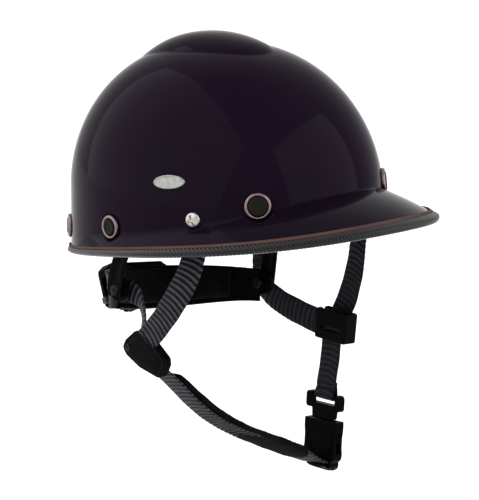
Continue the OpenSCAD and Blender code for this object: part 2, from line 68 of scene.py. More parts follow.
def make(name, verts, faces, mat, body, shade=True, uv=None, auto=None):
    """A mesh piece from millimetre points; it rides on a CAD body."""
    me = bpy.data.meshes.new(name)
    me.from_pydata([tuple(p) for p in np.asarray(verts, float) * MM], [], faces)
    me.update()
    ob = bpy.data.objects.new(name, me)
    bpy.context.scene.collection.objects.link(ob)
    me.polygons.foreach_set("use_smooth", [shade] * len(me.polygons))
    if uv is not None:
        lay = me.uv_layers.new(name="UVMap")
        idx = np.zeros(len(me.loops), np.int32)
        me.loops.foreach_get("vertex_index", idx)
        lay.data.foreach_set("uv", np.asarray(uv, np.float32)[idx].ravel())
    ob.data.materials.append(mat)
    if auto:
        me.set_sharp_from_angle(angle=math.radians(auto))
    if body:
        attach(ob, body)
    return ob


def grid_faces(n, m, close_u=False, close_v=False, flip=False):
    """Quads of an n by m grid of points, index i * m + j."""
    i = np.arange(n if close_u else n - 1)
    j = np.arange(m if close_v else m - 1)
    a, b = np.meshgrid(i, j, indexing="ij")
    p = a * m + b
    q = ((a + 1) % n) * m + b
    r = ((a + 1) % n) * m + (b + 1) % m
    s = a * m + (b + 1) % m
    f = np.stack([p, q, r, s] if not flip else [p, s, r, q], -1).reshape(-1, 4)
    return f.tolist()


def catmull(pts, per):
    """The same smooth path as the design's curve(), per steps a span."""
    p = arr(pts)
    out = []
    for i in range(len(p) - 1):
        a, b, c, d = p[max(i - 1, 0)], p[i], p[i + 1], p[min(i + 2, len(p) - 1)]
        for k in range(per):
            t = k / per
            out.append(0.5 * (2 * b + (c - a) * t + (2 * a - 5 * b + 4 * c - d) * t * t
                              + (3 * b - a - 3 * c + d) * t ** 3))
    out.append(p[-1])
    return arr(out)


def resample(p, extra, step):
    d = np.r_[0, np.cumsum(np.linalg.norm(np.diff(p, axis=0), axis=1))]
    n = max(2, int(round(d[-1] / step)) + 1)
    s = np.linspace(0, d[-1], n)
    f = lambda q: np.stack([np.interp(s, d, q[:, k]) for k in range(q.shape[1])], 1)
    return f(p), [f(e) for e in extra], s


def basis(p, nrm):
    t = unit(np.gradient(p, axis=0))
    u = unit(np.cross(t, nrm))
    v = np.cross(u, t)
    return t, u, v


def lathe(profile, seg=64):
    """Points and faces of a profile [(r, z), ...] turned about z; closed at r 0."""
    pr = arr(profile)
    a = np.linspace(0, 2 * math.pi, seg, endpoint=False)
    pts = np.stack([np.outer(np.cos(a), pr[:, 0]), np.outer(np.sin(a), pr[:, 0]),
                    np.tile(pr[:, 1], (seg, 1))], -1).reshape(-1, 3)
    return pts, grid_faces(seg, len(pr), close_u=True)


def rounded(poly, r, n=4):
    """A 2D outline with its corners rounded to radius r (one number or a list)."""
    p = arr(poly)
    out = []
    m = len(p)
    rr = r if isinstance(r, (list, tuple)) else [r] * m
    for i in range(m):
        a, b, c = p[i - 1], p[i], p[(i + 1) % m]
        u, v = unit(a - b), unit(c - b)
        k = rr[i]
        if k <= 0:
            out.append(b)
            continue
        ang = math.acos(float(np.clip(u @ v, -1, 1)))
        d = min(k / math.tan(ang / 2), 0.48 * np.linalg.norm(a - b), 0.48 * np.linalg.norm(c - b))
        s, e = b + u * d, b + v * d
        for j in range(n + 1):
            t = j / n
            out.append((1 - t) ** 2 * s + 2 * t * (1 - t) * b + t * t * e)
    return arr(out)


def bevel(ob, width, seg=3, angle=30):
    m = ob.modifiers.new("edge", "BEVEL")
    m.width = width * MM
    m.segments = seg
    m.limit_method = "ANGLE"
    m.angle_limit = math.radians(angle)
    m.harden_normals = False
    return ob


def prism(outline, z0, z1):
    """Solid from a 2D outline (counter-clockwise) between z0 and z1."""
    o = arr(outline)
    n = len(o)
    pts = np.r_[np.c_[o, np.full(n, z0)], np.c_[o, np.full(n, z1)]]
    f = [list(range(n))[::-1], list(range(n, 2 * n))]
    f += [[i, (i + 1) % n, n + (i + 1) % n, n + i] for i in range(n)]
    return pts, f


def xform(pts, m):
    m = np.asarray(m, float)
    return np.asarray(pts, float) @ m[:3, :3].T + m[:3, 3]


def rot(axis, deg):
    return np.array(Matrix.Rotation(math.radians(deg), 4, axis))


def move(x, y, z):
    return np.array(Matrix.Translation((x, y, z)))


def join_parts(parts):
    """Several (points, faces) as one."""
    P, F, k = [], [], 0
    for p, f in parts:
        P.append(np.asarray(p, float))
        F += [[i + k for i in q] for q in f]
        k += len(p)
    return np.concatenate(P), F


# ------------------------------------------------------------ the design's surface
DA, DB, DBASE, DRISE, DCX, DN, DCT = 121.0, 101.0, 30.0, 107.0, -8.3, 2.15, 0.93
RA, RB, RCX, T = 151.0, 113.0, 17.0, 3.2


def spow(v, e):
    return np.sign(v) * np.abs(v) ** e


def dome_s(z):
    return np.maximum(0, (z - DBASE) / DRISE)


def dome_f(z):
    return np.maximum(0, 1 - dome_s(z) ** 1.885) ** 0.437


def dome_pt(a, z):
    f = dome_f(z)
    return np.stack(np.broadcast_arrays(
        DCX - 1.25 * dome_s(z) + DA * f * spow(np.cos(a), DCT), DB * f * spow(np.sin(a), DCT), z), -1)


def rim_pt(a):
    c = np.cos(a)
    return np.stack([RCX + RA * c, RB * np.sin(a), 1 + 23.6 * c - 4 * c * c + 3 * c ** 3 + 3.5 * c ** 4], -1)


def rim_gap(a):
    return np.linalg.norm((rim_pt(a) - dome_pt(a, DBASE + 0 * a))[..., :2], axis=-1)


def root_z(a):
    return rim_pt(a)[..., 2] + 0.2 * rim_gap(a) + 5


def brim_pt(a, t):
    p, e, w = dome_pt(a, root_z(a)), rim_pt(a), rim_gap(a)
    o = (e - p) * [1, 1, 0]
    q = np.stack([p[..., 0], p[..., 1], e[..., 2] + 0.225 * w + 1], -1) + o * 0.02
    r = np.stack([p[..., 0], p[..., 1], e[..., 2] + 0.24 * w], -1) + o * 0.35
    t = t[..., None]
    return (1 - t) ** 3 * p + 3 * t * (1 - t) ** 2 * q + 3 * t * t * (1 - t) * r + t ** 3 * e


def comb_up(p):
    """Height of the raised comb: soft foot behind and at the sides, crisper in front."""
    q = ((p[..., 0] + 30) / 61) ** 2 + (p[..., 1] / 34.5) ** 2
    h = 7.5 * np.maximum(0, 1 - q ** 1.17) ** 0.84
    front = np.exp(-((p[..., 0] - 24) / 14) ** 2)
    soft = np.sqrt(h * h + 0.9) - 0.95
    return np.where(h > 0, soft * (1 - front) + h * front, 0)


def surface(a, k, brim, dome):
    """Outer skin at angles a and row k (arrays); rows 0..brim..brim+dome."""
    t = np.clip(1 - k / brim, 0, 1)
    low = brim_pt(a, t)
    z0 = root_z(a)
    s = np.clip((k - brim) / dome, 0, 1)
    z = z0 + (DBASE + DRISE - z0) * np.sin(s * math.pi / 2)
    high = dome_pt(a, z)
    up = np.where(high[..., 2] > 80, comb_up(high), 0)
    high = high + np.stack([0 * up, 0 * up, up], -1)
    return np.where((k < brim)[..., None], low, high)


def wall_frame(x, side, z):
    """4x4 frame on the dome wall, local z outward, as on_wall() in the design."""
    f = float(dome_f(arr(z)))
    dx = x - (DCX - 1.25 * float(dome_s(arr(z))))
    y = side * DB * f * (1 - (abs(dx) / (DA * f)) ** DN) ** (1 / DN)
    s = float(dome_s(arr(z)))
    n = [math.copysign(abs(dx) ** (DN - 1), dx) / (DA * f) ** DN,
         math.copysign(abs(y) ** (DN - 1), y) / (DB * f) ** DN,
         0.824 * s ** 0.885 / max(0.001, 1 - s ** 1.885) / DRISE]
    n = unit(arr(n))
    return move(x, y, z) @ rot("Z", math.degrees(math.atan2(n[1], n[0]))) @ rot("Y",
        math.degrees(math.acos(n[2])))


FRONT = [(88, -1, 38.5), (88, 1, 38.5)]
REAR = [(-24, -1, 12.5), (-24, 1, 12.5), (-100, -1, -2), (-100, 1, -2)]
SCREWS = [(50, -1, 27), (50, 1, 27)]
HANG = move(0, 0, -50) @ rot("X", -7) @ move(0, 0, 50)
RATCHET = HANG @ move(-96, 0, -59) @ rot("Y", -25)
BUCKLE = move(17.5, 79, -142) @ rot("X", -4)


# ------------------------------------------------------------ materials
def new_mat(name, base, rough, spec=0.5, metal=0.0, **kw):
    m = bpy.data.materials.new(name)
    m.use_nodes = True
    b = m.node_tree.nodes["Principled BSDF"]
    b.inputs["Base Color"].default_value = (*base, 1)
    b.inputs["Roughness"].default_value = rough
    b.inputs["Specular IOR Level"].default_value = spec
    b.inputs["Metallic"].default_value = metal
    for k, v in kw.items():
        b.inputs[k.replace("_", " ")].default_value = v
    return m, m.node_tree, b


def node(nt, kind, **kw):
    n = nt.nodes.new(kind)
    for k, v in kw.items():
        if k in n.inputs.keys():
            n.inputs[k].default_value = v
        else:
            setattr(n, k, v)
    return n


def coords(nt, kind="Object", scale=1000.0):
    c = node(nt, "ShaderNodeTexCoord")
    m = node(nt, "ShaderNodeMapping")
    m.inputs["Scale"].default_value = (scale,) * 3 if np.isscalar(scale) else scale
    nt.links.new(c.outputs[kind], m.inputs["Vector"])
    return m.outputs["Vector"]


def noise(nt, vec, scale, detail=3.0, rough=0.5):
    n = node(nt, "ShaderNodeTexNoise")
    n.inputs["Scale"].default_value = scale
    n.inputs["Detail"].default_value = detail
    n.inputs["Roughness"].default_value = rough
    nt.links.new(vec, n.inputs["Vector"])
    return n.outputs["Fac"]


def ramp(nt, fac, a, b, lo=0.0, hi=1.0):
    r = node(nt, "ShaderNodeMapRange")
    r.inputs["From Min"].default_value = lo
    r.inputs["From Max"].default_value = hi
    r.inputs["To Min"].default_value = a
    r.inputs["To Max"].default_value = b
    nt.links.new(fac, r.inputs["Value"])
    return r.outputs["Result"]


def tint(nt, fac, c0, c1, sock, lo=0.3, hi=0.7):
    r = node(nt, "ShaderNodeValToRGB")
    r.color_ramp.elements[0].position = lo
    r.color_ramp.elements[1].position = hi
    r.color_ramp.elements[0].color = (*c0, 1)
    r.color_ramp.elements[1].color = (*c1, 1)
    nt.links.new(fac, r.inputs["Fac"])
    nt.links.new(r.outputs["Color"], sock)


def bump(nt, bsdf, height, dist, strength=1.0, prev=None):
    b = node(nt, "ShaderNodeBump")
    b.inputs["Distance"].default_value = dist * MM
    b.inputs["Strength"].default_value = strength
    nt.links.new(height, b.inputs["Height"])
    if prev is not None:
        nt.links.new(prev, b.inputs["Normal"])
    nt.links.new(b.outputs["Normal"], bsdf.inputs["Normal"])
    return b.outputs["Normal"]


def math_node(nt, op, a, b=None):
    m = node(nt, "ShaderNodeMath", operation=op)
    for i, v in enumerate([a, b]):
        if v is None:
            continue
        if isinstance(v, (int, float)):
            m.inputs[i].default_value = v
        else:
            nt.links.new(v, m.inputs[i])
    return m.outputs[0]


def shell_material():
    m, nt, b = new_mat("shell_gloss", (0.0052, 0.0018, 0.0068), 0.06, 0.5)
    b.inputs["IOR"].default_value = 1.09
    v = coords(nt)
    tint(nt, noise(nt, v, 0.012, 3), (0.0056, 0.0016, 0.0072), (0.0046, 0.0026, 0.0062),
        b.inputs["Base Color"])
    nt.links.new(ramp(nt, noise(nt, v, 0.02, 4), 0.04, 0.1, 0.3, 0.7), b.inputs["Roughness"])
    bump(nt, b, noise(nt, v, 0.06, 2), 0.02, 0.25)
    return m


def plastic(name, base, rough, grain=0.35, spec=0.4, lift=1.6, ior=1.09):
    m, nt, b = new_mat(name, base, rough, spec)
    b.inputs["IOR"].default_value = ior
    v = coords(nt)
    tint(nt, noise(nt, v, 0.05, 4), base, tuple(min(1, c * lift) for c in base), b.inputs["Base Color"])
    nt.links.new(ramp(nt, noise(nt, v, 0.4, 3), rough * 0.8, min(1, rough * 1.25), 0.3, 0.7),
        b.inputs["Roughness"])
    if grain:
        bump(nt, b, noise(nt, v, 2.2, 2), 0.05, grain)
    return m


def metal(name, base, rough, brushed=True):
    m, nt, b = new_mat(name, base, rough, 0.5, 1.0)
    v = coords(nt, scale=(200.0, 200.0, 3000.0) if brushed else 1000.0)
    f = noise(nt, v, 1.0, 3)
    nt.links.new(ramp(nt, f, rough * 0.7, rough * 1.3, 0.3, 0.7), b.inputs["Roughness"])
    tint(nt, noise(nt, coords(nt), 0.4, 3), tuple(c * 0.75 for c in base), base, b.inputs["Base Color"])
    bump(nt, b, f, 0.02, 0.3)
    return m


def webbing_material(name="webbing", dark=(0.0006, 0.0005, 0.001), light=(0.075, 0.07, 0.088), fold_shading=True):
    """Herringbone ribbed webbing in UV millimetres: u along, v across. The rib tops get a painted highlight in the
    light colour, and the fold waves add painted shade and highlight along the ruche folds.
    """
    m, nt, b = new_mat(name, dark, 0.5, 0.3)
    b.inputs["IOR"].default_value = 1.2
    b.inputs["Sheen Weight"].default_value = 0.03
    b.inputs["Sheen Roughness"].default_value = 0.4
    uv = coords(nt, "UV", 1.0)
    sep = node(nt, "ShaderNodeSeparateXYZ")
    nt.links.new(uv, sep.inputs[0])
    wob = ramp(nt, noise(nt, uv, 0.35, 2), -0.5, 0.5)
    u = math_node(nt, "ADD", sep.outputs[0], wob)
    ribs = math_node(nt, "ABSOLUTE", math_node(nt, "SINE", math_node(nt, "MULTIPLY", u, math.pi / 1.05)))
    warp = math_node(nt, "ABSOLUTE", math_node(nt, "SINE",
        math_node(nt, "MULTIPLY", sep.outputs[1], math.pi / 0.7)))
    h = math_node(nt, "ADD", math_node(nt, "MULTIPLY", ribs, 0.7), math_node(nt, "MULTIPLY", warp, 0.3))
    n1 = bump(nt, b, h, 0.28, 0.9)
    bump(nt, b, noise(nt, uv, 3.0, 3), 0.08, 0.5, n1)
    # painted shade and highlight along the ruche folds: this wave changes only the colour, not the bump
    if fold_shading:
        across = math_node(nt, "MULTIPLY", math_node(nt, "POWER",
            math_node(nt, "ABSOLUTE", sep.outputs[1]), 2.0), 1.6 / 95)
        ph = math_node(nt, "MULTIPLY", math_node(nt, "SUBTRACT", sep.outputs[0], across), 2 * math.pi / 4.3)
        for k, d in ((0.9, 17.0), (0.5, 7.1)):
            sway = math_node(nt, "SINE", math_node(nt, "MULTIPLY", sep.outputs[0], 1 / d))
            ph = math_node(nt, "ADD", ph, math_node(nt, "MULTIPLY", sway, k))
        h = math_node(nt, "MULTIPLY", h, ramp(nt, math_node(nt, "SINE", ph), 0.25, 1.15, -0.8, 0.8))
    # painted highlight: the rib tops take the light colour and the hollows stay dark
    tint(nt, math_node(nt, "MULTIPLY", h, ramp(nt, noise(nt, uv, 0.12, 3), 0.6, 1.15)), dark, light,
         b.inputs["Base Color"], 0.35, 0.95)
    return m


def pad_material(name="pad_fabric", dark=(0.0012, 0.0012, 0.0014), light=(0.004, 0.004, 0.0045)):
    m, nt, b = new_mat(name, dark, 0.85, 0.12)
    b.inputs["IOR"].default_value = 1.12
    b.inputs["Sheen Weight"].default_value = 0.02
    b.inputs["Sheen Roughness"].default_value = 0.5
    v = coords(nt)
    w = node(nt, "ShaderNodeTexVoronoi")
    w.inputs["Scale"].default_value = 1.1
    nt.links.new(v, w.inputs["Vector"])
    n1 = bump(nt, b, w.outputs["Distance"], 0.25, 0.5)
    bump(nt, b, noise(nt, v, 5, 3), 0.06, 0.5, n1)
    tint(nt, noise(nt, v, 0.08, 4), dark, light, b.inputs["Base Color"])
    return m


def foam_material():
    m, nt, b = new_mat("foam", (0.018, 0.018, 0.02), 0.8, 0.3)
    v = coords(nt)
    w = node(nt, "ShaderNodeTexVoronoi")
    w.inputs["Scale"].default_value = 0.32
    nt.links.new(v, w.inputs["Vector"])
    tint(nt, w.outputs["Distance"], (0.12, 0.12, 0.125), (0.05, 0.05, 0.053), b.inputs["Base Color"], 0.2,
        0.8)
    bump(nt, b, w.outputs["Distance"], 0.35, 0.5)
    return m


M = {
    "shell_gloss": shell_material(),
    "bead_rubber": plastic("bead_rubber", (0.0012, 0.0012, 0.0015), 0.2, 0.1, 0.5, 1.6, 1.3),
    "piping": plastic("piping", (0.055, 0.03, 0.027), 0.55, 0.3, 0.3, 1.3),
    "badge_metal": metal("badge_metal", (0.28, 0.28, 0.27), 0.42),
    "ring_metal": metal("ring_metal", (0.20, 0.14, 0.15), 0.28, False),
    "cap_plastic": plastic("cap_plastic", (0.006, 0.006, 0.005), 0.25, 0.1, 0.5),
    "steel": metal("steel", (0.45, 0.42, 0.39), 0.35, False),
    "black_plastic": plastic("black_plastic", (0.0012, 0.0012, 0.0014), 0.4, 0.3, 0.28),
    "rack_plastic": plastic("rack_plastic", (0.04, 0.04, 0.045), 0.45),
    "foam": foam_material(),
    "webbing": webbing_material(),
    # a copy of the webbing with a dimmer rib colour for the far-side straps: painted shade
    "webbing_far_shaded": webbing_material("webbing_far_shaded", light=(0.024, 0.019, 0.034)),
    "crown_web": webbing_material("crown_web", (0.004, 0.004, 0.005), (0.09, 0.085, 0.1), False),
    "pad_fabric": pad_material(),
    "brow_leather": plastic("brow_leather", (0.012, 0.011, 0.011), 0.55, 0.8, 0.4),
    "buckle_plastic": plastic("buckle_plastic", (0.0008, 0.0008, 0.001), 0.3, 0.2, 0.25),
}
slots = {s["node"]: s["material_slot"] for s in frame["record"]["subparts"]}
for name, ob in NODES.items():
    ob.data.materials.clear()
    ob.data.materials.append(M[slots[name]])

# ------------------------------------------------------------ shell
NA, NBR, NDO = 720, 34, 150
aa = np.linspace(0, 2 * math.pi, NA, endpoint=False)
rows = np.r_[np.arange(NBR), NBR + np.arange(NDO)].astype(float)
A, K = np.meshgrid(aa, rows, indexing="ij")
OUT = surface(A, K, NBR, NDO)
for spot, rad, deep in [(q, 10.05, -1.0) for q in FRONT] + [(q, 9.05, -1.0) for q in REAR] + [(q, 5.8,
    -0.3) for q in SCREWS]:
    W_ = wall_frame(*spot)
    L = (OUT - W_[:3, 3]) @ W_[:3, :3]
    r = np.hypot(L[..., 0], L[..., 1])
    push = np.where((np.abs(L[..., 2]) < 14) & (L[..., 2] > deep),
        (L[..., 2] - deep) * (1 - smooth(r, rad, rad + 1.6)), 0)
    OUT = OUT - push[..., None] * W_[:3, 2]
du = np.roll(OUT, -1, 0) - np.roll(OUT, 1, 0)
dv = np.gradient(OUT, axis=1)
NRM = unit(np.cross(du, dv))
INN = OUT - NRM * T
top = OUT[:, -1].mean(0)
apex = [[top[0], 0, OUT[:, -1, 2].max() + 0.02]]
apex_in = [[top[0], 0, OUT[:, -1, 2].max() - T]]
nr = len(rows)
P = np.concatenate([OUT.reshape(-1, 3), INN.reshape(-1, 3), apex, apex_in])
n = NA * nr
F = grid_faces(NA, nr, close_u=True)
F += [[n + q for q in f] for f in grid_faces(NA, nr, close_u=True, flip=True)]
for i in range(NA):
    j = (i + 1) % NA
    F.append([i * nr + nr - 1, j * nr + nr - 1, 2 * n])
    F.append([n + j * nr + nr - 1, n + i * nr + nr - 1, 2 * n + 1])
    F.append([j * nr, i * nr, n + i * nr, n + j * nr])
shell = make("shell_skin", P, F, M["shell_gloss"], "helmet", auto=50)
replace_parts(shell, "shell")


# ------------------------------------------------------------ rim bead and piping
def rim_basis(a):
    e = 0.5 * math.pi / 180
    tg = unit(rim_pt(a + e) - rim_pt(a - e))
    k0, k1 = np.zeros_like(a), np.ones_like(a) * NBR / 7
    sl = unit(surface(a, k0, NBR, NDO) - surface(a, k1, NBR, NDO))
    up = unit(np.cross(sl, tg))
    up = up * np.sign(up[..., 2:3])
    return sl, up


def rim_sweep(name, prof, n, mat, scale=None):
    """prof: m by 2 outline in (out, up); scale: n factors about its middle."""
    a = np.linspace(0, 2 * math.pi, n, endpoint=False)
    sl, up = rim_basis(a)
    p = arr(prof)
    c = p.mean(0)
    s = np.ones(n) if scale is None else scale
    q = c + (p - c)[None] * s[:, None, None]
    pts = rim_pt(a)[:, None] + sl[:, None] * q[..., :1] + up[:, None] * q[..., 1:]
    return make(name, pts.reshape(-1, 3), grid_faces(n, len(p), close_u=True, close_v=True, flip=True),
                M[mat], "helmet")


bead_prof = rounded([(-4.5, 0.12), (0.3, 0.12), (0.3, -T - 0.1), (-4.5, -T - 0.1), (-4.6, -T - 1.2),
                     (1.1, -T - 1.3), (2.65, -T / 2 - 1.2), (2.65, -T / 2 + 1.2), (1.1, 1.4), (-4.6, 1.3)],
                    [0.1, 0.1, 0.1, 0.1, 0.7, 1.6, 1.4, 1.4, 1.6, 0.7], 3)
NRIB = 284
st = np.arange(NRIB * 6) / 6
ribs = 1 + 0.11 * (np.abs(np.sin(math.pi * st)) ** 0.6 - 0.8)
bead = rim_sweep("rim_bead_ribbed", bead_prof, NRIB * 6, "bead_rubber", ribs)
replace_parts(bead, "rim_bead")
pipe_prof = rounded([(-8.1, 0.3), (-4.8, 0.1), (-4.8, 1.45), (-8.1, 1.75)], [0.1, 0.1, 0.6, 0.45], 4)
pipe = rim_sweep("rim_piping_line", pipe_prof, 400, "piping")
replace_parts(pipe, "rim_piping")


# ------------------------------------------------------------ badge, rivets, screws
def badge_parts(side):
    f = wall_frame(30.5, side, 52) @ move(0, 0, 0.9) @ rot("Z", 90 - 6 * side)
    seg = 72
    a = np.linspace(0, 2 * math.pi, seg, endpoint=False)
    rows_ = [(12.8, 4.9, -1.2), (12.9, 5.0, 0.5), (12.7, 4.85, 1.0), (12.1, 4.3, 1.25), (11.7, 3.95, 1.1),
             (11.5, 3.75, 0.8), (11.2, 3.5, 0.72), (7, 2.2, 0.85), (3, 1, 0.92), (0.01, 0.004, 0.94)]
    pts = arr([[rx * np.cos(t), ry * np.sin(t), z] for t in a for rx, ry, z in rows_])
    pts[:, 2] -= (pts[:, 0] ** 2) / (2 * 150)
    return xform(pts, f), grid_faces(seg, len(rows_), close_u=True)


P, F = join_parts([badge_parts(-1), badge_parts(1)])
badges = make("blank_side_badges", P, F, M["badge_metal"], "helmet")
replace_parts(badges, "side_badges")


def ring_profile(d):
    r = d / 2
    return [(shank, z) for shank, z in
            [(3.9, -8.8), (3.95, -0.9), (r - 0.4, -0.95), (r - 0.1, -0.5), (r, 0.2), (r - 0.1, 1.1),
                (r - 0.5, 1.8),
             (r - 1.1, 2.2), (r - 1.8, 2.15), (r - 2.3, 1.75), (r - 2.5, 1.1), (r - 2.5, 0.9),
                 (2.1, 0.88), (2.1, -8.8)]]


def cap_profile(d):
    r = (d - 5.6) / 2
    return [(1.8, -4.9), (1.85, 0.9), (r, 0.92), (r + 0.05, 1.6), (r - 0.1, 2.3), (r - 0.6, 2.75),
        (r - 1.3, 2.9),
            (r - 2.0, 2.72), (r - 2.6, 2.5), (1.2, 2.55), (0.01, 2.6)]


def fasteners(name, spots, prof, mat, seg=56, lift=0.0):
    parts = []
    for s in spots:
        p, f = lathe(prof, seg)
        parts.append((xform(p, wall_frame(*s) @ move(0, 0, lift)), f))
    P, F = join_parts(parts)
    return make(name, P, F, M[mat], "helmet")


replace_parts(fasteners("front_rivet_rings_turned", FRONT, ring_profile(19.5), "ring_metal"),
    "front_ring_rivets")
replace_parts(fasteners("front_rivet_caps_turned", FRONT, cap_profile(19.5), "cap_plastic"), "front_rivet_caps")
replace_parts(fasteners("rear_rivet_rings_turned", REAR, ring_profile(17.5), "ring_metal"), "rear_ring_rivets")
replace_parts(fasteners("rear_rivet_caps_turned", REAR, cap_profile(17.5), "cap_plastic"), "rear_rivet_caps")


def screw_parts():
    """Pan head with a cross recess: rows of a lathe pushed in along the cross."""
    seg, prof = 96, [(2.45, -8.2), (2.5, -0.2), (5.5, -0.2), (5.55, 0.4), (5.3, 1.1), (4.7, 1.6), (3.9, 1.9),
                     (3.3, 2.02), (2.7, 2.1), (2.2, 2.15), (1.7, 2.18), (1.2, 2.2), (0.8, 2.2),
                         (0.4, 2.2), (0.01, 2.2)]
    p, f = lathe(prof, seg)
    x, y, z = p.T
    w = 0.85
    inside = (np.minimum(np.abs(x), np.abs(y)) < w) & (np.maximum(np.abs(x), np.abs(y)) < 3.4) & (z > 1.5)
    p[inside, 2] -= 1.3
    return p, f


P, F = join_parts([(xform(screw_parts()[0], wall_frame(*s) @ rot("Z", 25)),
    screw_parts()[1]) for s in SCREWS])
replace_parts(make("anchor_screws_cross", P, F, M["steel"], "helmet", auto=35), "anchor_screws")


# ------------------------------------------------------------ webbing
def web(name, path, nrm, w, t, node_name, body, per=12, ruche=0.44, pitch=4.3, fold=None,
    mat=None,
        ends=True, phase=0.0, curl=0.6):
    """A woven strap: ribbed cross threads, soft ruching, rolled edges."""
    p, (nn,), s = resample(catmull(path, per), [catmull(nrm, per)], 0.55)
    tg, u, v = basis(p, nn)
    half = w / 2
    xs = np.linspace(-1, 1, 25)
    xs = np.sign(xs) * (1 - (1 - np.abs(xs)) ** 1.25)
    edge = np.sqrt(np.clip(1 - np.abs(xs) ** 10, 0, 1))
    ring = [(x * half, e * t / 2, 1, x) for x, e in zip(xs, edge)] + \
           [(x * half, -e * t / 2, -1, x) for x, e in zip(xs[::-1], edge[::-1])]
    ring = arr(ring)
    n, m = len(p), len(ring)
    S = s[:, None] + phase * 1.3
    bow = 1.6 * (ring[None, :, 3] ** 2)
    wave = np.sin(2 * math.pi * (S - bow) / pitch + 0.9 * np.sin(S / 17) + 0.5 * np.sin(S / 7.1))
    amp = ruche * (0.55 + 0.45 * np.sin(S / 23 + 1 + phase)) * (1 - 0.65 * np.abs(ring[None, :, 3]) ** 4)
    lift = amp * (np.abs(wave) ** 0.8 * np.sign(wave)) + 0.25 * np.sin(S / 31 + ring[None, :, 3] * 1.3)
    lift = lift + curl * 0.35 * ring[None, :, 3] ** 2 * np.sin(S / 19 + phase)
    wide = 1 + 0.012 * np.sin(S / 3.1) + 0.01 * np.sin(S / 9)
    pts = (p[:, None] + u[:, None] * (ring[None, :, :1] * wide[..., None])
           + v[:, None] * (ring[None, :, 1:2] + lift[..., None]))
    F = grid_faces(n, m, close_v=True)
    F += [list(range(m))[::-1], [(n - 1) * m + k for k in range(m)]]
    uv = np.stack([np.tile(S, (1, m)), np.tile(ring[None, :, 0], (n, 1))], -1).reshape(-1, 2)
    ob = make(name, pts.reshape(-1, 3), F, mat or M["webbing"], body, uv=uv)
    if node_name:
        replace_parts(ob, node_name)
    return ob


SW, ST = 19.5, 1.7
def wall_at(spot, down, out):
    """A point down the wall and outward from a fastener, as in the design."""
    f = wall_frame(*spot)
    n = f[:3, 2]
    h = math.hypot(n[0], n[1])
    return f[:3, 3] + n * out + down * arr([n[0] * n[2] / h, n[1] * n[2] / h, -h])


def wall_n(spot):
    return wall_frame(*spot)[:3, 2]


web("right_front_web", [wall_at(SCREWS[0], -7, -5.4), wall_at(SCREWS[0], 10, -5.4), [47, -86.4, 2],
    [43, -88.6, -14],
                        [33, -90.5, -32], [16, -91.3, -54], [0, -90.9, -70], [-6, -90.6, -77]],
    [wall_n(SCREWS[0]), wall_n(SCREWS[0]), [0.25, -1, 0.1], [0.25, -1, 0.1], [0.2, -1, 0], [0.1, -1, 0],
     [0, -1, 0], [0, -1, 0]], SW, ST, "right_front_strap", "helmet")
web("right_rear_web", [[-47.8, -68.6, -41.3], [-38, -68.8, -41.8], [-28, -69.2, -46], [-20, -72.4, -55],
                       [-14.5, -78, -64], [-11, -84.6, -73], [-9.5, -85.7, -78]],
    [[0, -1, 0.12], [0, -1, 0.12], [-0.6, -0.9, 0.1], [-0.7, -0.8, 0.1], [-0.5, -0.9, 0.1], [0, -1, 0],
        [0, -1, 0]],
    SW * 0.8, ST, "right_rear_strap", "helmet", phase=3)
# the far-side straps use the webbing copy with painted shade (a dimmer rib highlight)
web("left_front_web", [wall_at(SCREWS[1], -7, -5.4), wall_at(SCREWS[1], 10, -5.4), [46, 86.4, 2],
    [41, 88.4, -18],
                       [37, 89.6, -38], [29.9, 90.2, -60], [22.8, 89.6, -76], [21.4, 88.8, -88]],
    [wall_n(SCREWS[1]), wall_n(SCREWS[1]), [0.25, 1, 0.1], [0.2, 1, 0], [0.1, 1, 0], [0, 1, 0], [0, 1, -0.07],
     [0, 1, -0.07]], SW, ST, "left_front_strap", "helmet", phase=5, mat=M["webbing_far_shaded"])
web("left_rear_web", [wall_at(REAR[1], -10, -5.5) + arr([2, 0, 0]),
    wall_at(REAR[1], 9, -5.5) - arr([2, 0, 0]),
                      [-40, 87.4, -18], [-55, 85.6, -42], [-51, 84, -64], [-36, 85, -74], [-14, 86, -80],
                      [4, 86.6, -83.5], [14, 86.7, -84.5]],
    [wall_n(REAR[1]), wall_n(REAR[1]), [-0.2, 1, 0.1], [-0.1, 1, 0], [0, 1, 0], [0, 1, 0], [0, 1, -0.07],
     [0, 1, -0.07], [0, 1, -0.07]], SW, ST, "left_rear_strap", "helmet", phase=8, mat=M["webbing_far_shaded"])
CHIN = [[-8, -88, -79], [-6, -80.5, -87], [-1, -65, -102], [4, -46.5, -122], [7.5, -28, -137.5],
        [10.5, -4, -151.5], [13.5, 26, -165], [15.5, 48, -175], [17, 65, -184], [17.4, 72, -186.2]]
CHIN_N = [[0.1, -1, -0.5], [0.1, -1, -0.8], [0.1, -1, -0.9], [0.15, -1, -1], [0.25, -0.8, -1],
    [0.35, -0.45, -1],
          [0.45, -0.35, -1], [0.42, -0.35, -1], [0.2, -0.3, -1], [0, -0.2, -1]]
web("chin_web", CHIN + [[17.5, 77, -186.7], [17.5, 82.3, -187.6], [17.5, 83.6, -190], [17.5, 81.5, -192.3],
                        [17.4, 76, -192.2], [17.2, 69, -189]],
    CHIN_N + [[0, -0.05, -1], [0, -0.6, -0.8], [0, -1, 0], [0, -0.6, 0.8], [0, 0.15, 1], [0, 0.35, 1]],
    SW, ST, "chin_strap", "helmet", phase=2)
low = xform([[3, 0, 64], [2.6, 0, 38], [0, 0, 15], [0, 0, 11.8], [0, -1.6, 8.4], [0, -2.1, 6], [0, -1.8, 4],
             [0, 0, 2.9], [0, 1.8, 4], [0, 2.1, 6], [0, 2.1, 9], [0, 1.7, 12.5], [0, 1.7, 16]], BUCKLE)
